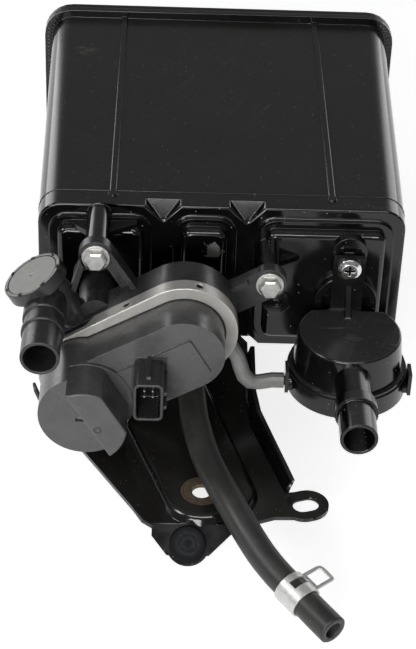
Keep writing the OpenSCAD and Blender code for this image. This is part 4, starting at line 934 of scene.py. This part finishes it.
@dataclass
class LeakPump(SubAssembly):
    """The leak-check pump across the front, with its band, port and plug."""

    bolt_tops: tuple[Point, ...] = ((23.7, -40.0, -22.5), (-62.0, -44.0, -6.1))
    head_reach: float = 6.5
    head_slack: float = 0.1
    head_chamfer: float = 1.0
    head_fold: float = 50.0
    cup_axis: Point = (-0.5, 0.0, 0.866)
    cup_rim: float = 14.6
    crimp_rise: float = 0.2
    crimps: int = 7
    crimp: Point = (1.3, 0.5, 0.5)
    lug: tuple[Point, ...] = ((-86.0, -55.0, -80.0), (-89.4, -58.5, -78.6), (-90.7, -60.0, -73.0),
                              (-91.8, -60.0, -68.0))
    lug_radius: float = 1.3
    guard: FoldRound = FoldRound(0.9, steps=4, low=(-75.0, -100.8, -82.0), high=(-44.0, -100.4, -41.0))
    drum: FoldRound = FoldRound(0.8, steps=4, low=(-89.0, -88.8, -88.0), high=(-50.0, -88.4, -43.0),
                                clear_of=(-65.2, -88.6, -64.7), clear=20.0)
    face: FoldRound = FoldRound(1.2, steps=4, low=(-66.0, -75.8, -77.0), high=(3.0, -75.4, -17.0))
    panel: FoldRound = FoldRound(0.6, steps=3, low=(-51.0, -77.2, -67.0), high=(-4.0, -76.8, -27.0))

    def head_round(self, x: float, y: float, z: float) -> FoldRound:
        """Return the chamfer of a bolt head, from the middle of its top."""
        reach, slack = self.head_reach, self.head_slack
        return FoldRound(self.head_chamfer, steps=1, fold=self.head_fold, low=(x - reach, y - slack, z - reach),
                         high=(x + reach, y + slack, z + reach))

    def cup_line(self) -> list[Vector]:
        """Return the rim of the port's cup, just above the top of its disc."""
        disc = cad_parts["port_disc"].data.vertices
        axis = Vector(self.cup_axis)
        top = max(v.co.dot(axis) for v in disc)
        middle = sum((v.co for v in disc), Vector()) / len(disc)
        return circle(middle + axis * (top - middle.dot(axis) + self.crimp_rise * MM), axis, self.cup_rim)

    def build(self) -> None:
        """Build the pump's housings and dress its works."""
        self.skin("pump_base", Finishes.BASE, Edge.MOULDED)
        self.skin("pump_gasket", Finishes.SEAL, Edge.HEAD)
        self.skin("pump_band", Finishes.BAND, Edge.ROLLED)
        self.skin("pump_cap", Finishes.PUMP, Edge.MOULDED, (self.guard, self.drum, self.face, self.panel))
        self.skin("connector_pins", Finishes.PIN, Edge.TERMINAL)
        self.skin("port_disc", Finishes.DISC, Edge.HEAD)
        self.skin("pump_bolts", Finishes.ZINC, Edge.HEAD, [self.head_round(*top) for top in self.bolt_tops])
        BeadRow("cup_crimps", self.cup_line(), Pivot.ANY, self.crimps, self.crimp, Finishes.BASE).build()
        self.ridge("band_lug", [at(*p) for p in self.lug], BACK, self.lug_radius, Finishes.BASE, closed=False)
        self.paint("circuit_board", Finishes.BOARD)
        self.paint("pump_motor", Finishes.BAND)
        self.paint("vent_solenoid", Finishes.ZINC)
        self.paint("pump_seal", Finishes.SEAL)


@dataclass
class VentFilter(SubAssembly):
    """The round vent filter at the right, with its cover, screw and link hose."""

    collar: Point = (66.3, -87.0, -61.5)
    collar_radius: float = 10.5
    collar_beads: int = 44
    collar_bead: Point = (0.55, 0.4, 0.3)
    flow_line: tuple[Point, ...] = ((40.6, -32.6, -50.0), (66.0, -31.5, -50.0), (91.4, -30.4, -50.0))
    flow_radius: float = 0.14
    top: FoldRound = FoldRound(1.2, steps=4, fold=25.0, low=(30.0, -70.0, -50.3), high=(100.0, -10.0, -49.7))

    def build(self) -> None:
        """Build the filter's housing and dress what lies inside."""
        self.skin("vent_housing", Finishes.VENT, Edge.MOULDED, (self.top,))
        self.skin("vent_cover", Finishes.VENT, Edge.MOULDED)
        self.skin("vent_screw", Finishes.CHROME, Edge.SHEET)
        self.skin("link_hose", Finishes.LINK, Edge.SHEET)
        around = circle(at(*self.collar), BACK, self.collar_radius)
        BeadRow("collar_beads", around, Pivot.DEPTH, self.collar_beads, self.collar_bead, Finishes.VENT).build()
        flow_line = [at(*p) for p in self.flow_line]
        self.ridge("vent_flow_line", flow_line, UP, self.flow_radius, Finishes.VENT, closed=False)
        self.paint("vent_filter", Finishes.FELT)
        self.paint("vent_seal", Finishes.SEAL)


@dataclass
class Bracket(SubAssembly):
    """The stamped steel bracket below, with its bolts and rubber bumper."""

    crest: FoldRound = FoldRound(2.2, steps=4, fold=15.0, low=(-75.0, -136.0, -88.8), high=(30.0, 10.0, -88.2),
                                 clear_of=ORIGIN, clear=6.0)
    root: FoldRound = FoldRound(1.4, steps=3, fold=15.0, low=(-74.0, -133.0, -93.3), high=(34.0, 10.0, -92.7),
                                clear_of=ORIGIN, clear=6.0)

    def build(self) -> None:
        """Build the bracket's plate, bolts and bumper."""
        self.skin("bracket", Finishes.BRACKET, Edge.PRESSED, (self.crest, self.root))
        self.skin("bracket_bolts", Finishes.ZINC, Edge.HEAD)
        self.skin("bumper", Finishes.BUMPER, Edge.HEAD)


@dataclass(frozen=True)
class Lamp:
    """One soft box: where it stands, what it points at, its sides in metres and its power in watts."""

    name: str
    place: Point
    aim: Point
    size: Pair
    power: float
    mirrored_only: bool = False

    def build(self) -> None:
        """Hang the lamp."""
        light = bpy.data.lights.new(self.name, "AREA")
        light.shape = "RECTANGLE"
        light.size, light.size_y = self.size
        light.energy = self.power
        lamp = bpy.data.objects.new(self.name, light)
        lamp.location = self.place
        lamp.rotation_euler = (Vector(self.aim) - Vector(self.place)).to_track_quat("-Z", "Y").to_euler()
        lamp.visible_diffuse = not self.mirrored_only
        bpy.context.scene.collection.objects.link(lamp)


@dataclass
class Studio:
    """The camera, the pale floor and the soft light round the object."""

    place: Point = (-0.019016, -0.691075, 0.604155)
    turn: Point = (53.8286, -1.8995, -0.1701)
    lens: float = 105.6265
    sensor: float = 36.0
    clip: Pair = (0.01, 50.0)
    floor_size: float = 30.0
    floor_colour: Colour = grey(0.93)
    floor_roughness: float = 0.9
    floor_gloss: float = 0.1
    floor_white: float = 0.8
    sky: float = 0.19
    lamps: tuple[Lamp, ...] = (
        Lamp("front_box", (-0.45, -1.75, 0.42), (0.0, -0.05, 0.0), (0.9, 0.6), 20.0),
        Lamp("left_box", (-1.16, -0.33, 1.12), (0.0, 0.0, 0.03), (0.45, 0.45), 8.0, mirrored_only=True),
        Lamp("top_strip", (0.0, -0.75, 1.25), (0.0, 0.05, 0.05), (1.3, 0.3), 11.0, mirrored_only=True),
        Lamp("left_strip", (-0.85, 1.1, 0.4), (0.0, 0.1, 0.05), (0.6, 0.7), 4.0, mirrored_only=True),
        Lamp("right_strip", (0.85, 1.1, 0.4), (0.0, 0.1, 0.05), (0.6, 0.7), 3.0, mirrored_only=True))

    def camera(self) -> None:
        """Set the camera where the photograph was taken."""
        data = bpy.data.cameras.new("camera")
        data.lens = self.lens
        data.sensor_width = self.sensor
        data.clip_start, data.clip_end = self.clip
        camera = bpy.data.objects.new("camera", data)
        camera.location = self.place
        camera.rotation_euler = Euler([math.radians(a) for a in self.turn], "XYZ")
        bpy.context.scene.collection.objects.link(camera)
        bpy.context.scene.camera = camera

    def floor(self, level: float) -> None:
        """Lay the floor at a height in metres; its glow shows only to the eye and in reflections."""
        half = self.floor_size / 2
        corners = [(-half, -half, level), (half, -half, level), (half, half, level), (-half, half, level)]
        mesh = bpy.data.meshes.new("floor")
        mesh.from_pydata(corners, [], [(0, 1, 2, 3)])
        floor = linked("floor", mesh)
        shader = Shader("floor_white")
        path = shader.node("ShaderNodeLightPath", {})
        seen = shader.math("MAXIMUM", path.outputs["Is Camera Ray"], path.outputs["Is Glossy Ray"])
        seen = shader.math("MAXIMUM", seen, path.outputs["Is Transmission Ray"])
        mesh.materials.append(shader.dress({
            "Base Color": (*self.floor_colour, 1.0), "Roughness": self.floor_roughness,
            "Specular IOR Level": self.floor_gloss, "Emission Color": WHITE,
            "Emission Strength": shader.math("MULTIPLY", seen, self.floor_white)}))
        floor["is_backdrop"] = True

    def light(self) -> None:
        """Hang the lamps and light the sky evenly."""
        for lamp in self.lamps:
            lamp.build()
        world = bpy.data.worlds.new("studio")
        bpy.context.scene.world = world
        world.use_nodes = True
        back = world.node_tree.nodes["Background"]
        back.inputs["Color"].default_value = WHITE
        back.inputs["Strength"].default_value = self.sky
        bpy.context.scene.view_settings.view_transform = "Standard"


def main() -> None:
    """Build the canister and its studio in order."""
    logging.basicConfig(level=logging.INFO, format="%(message)s")
    solid_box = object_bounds()
    studio = Studio()
    studio.camera()
    for group in (PurgeHose(), CarbonCase(), LeakPump(), VentFilter(), Bracket()):
        group.build()
        LOG.info("%s built", type(group).__name__)
    studio.floor(solid_box[0].z)
    studio.light()


if __name__ == "__main__":
    main()
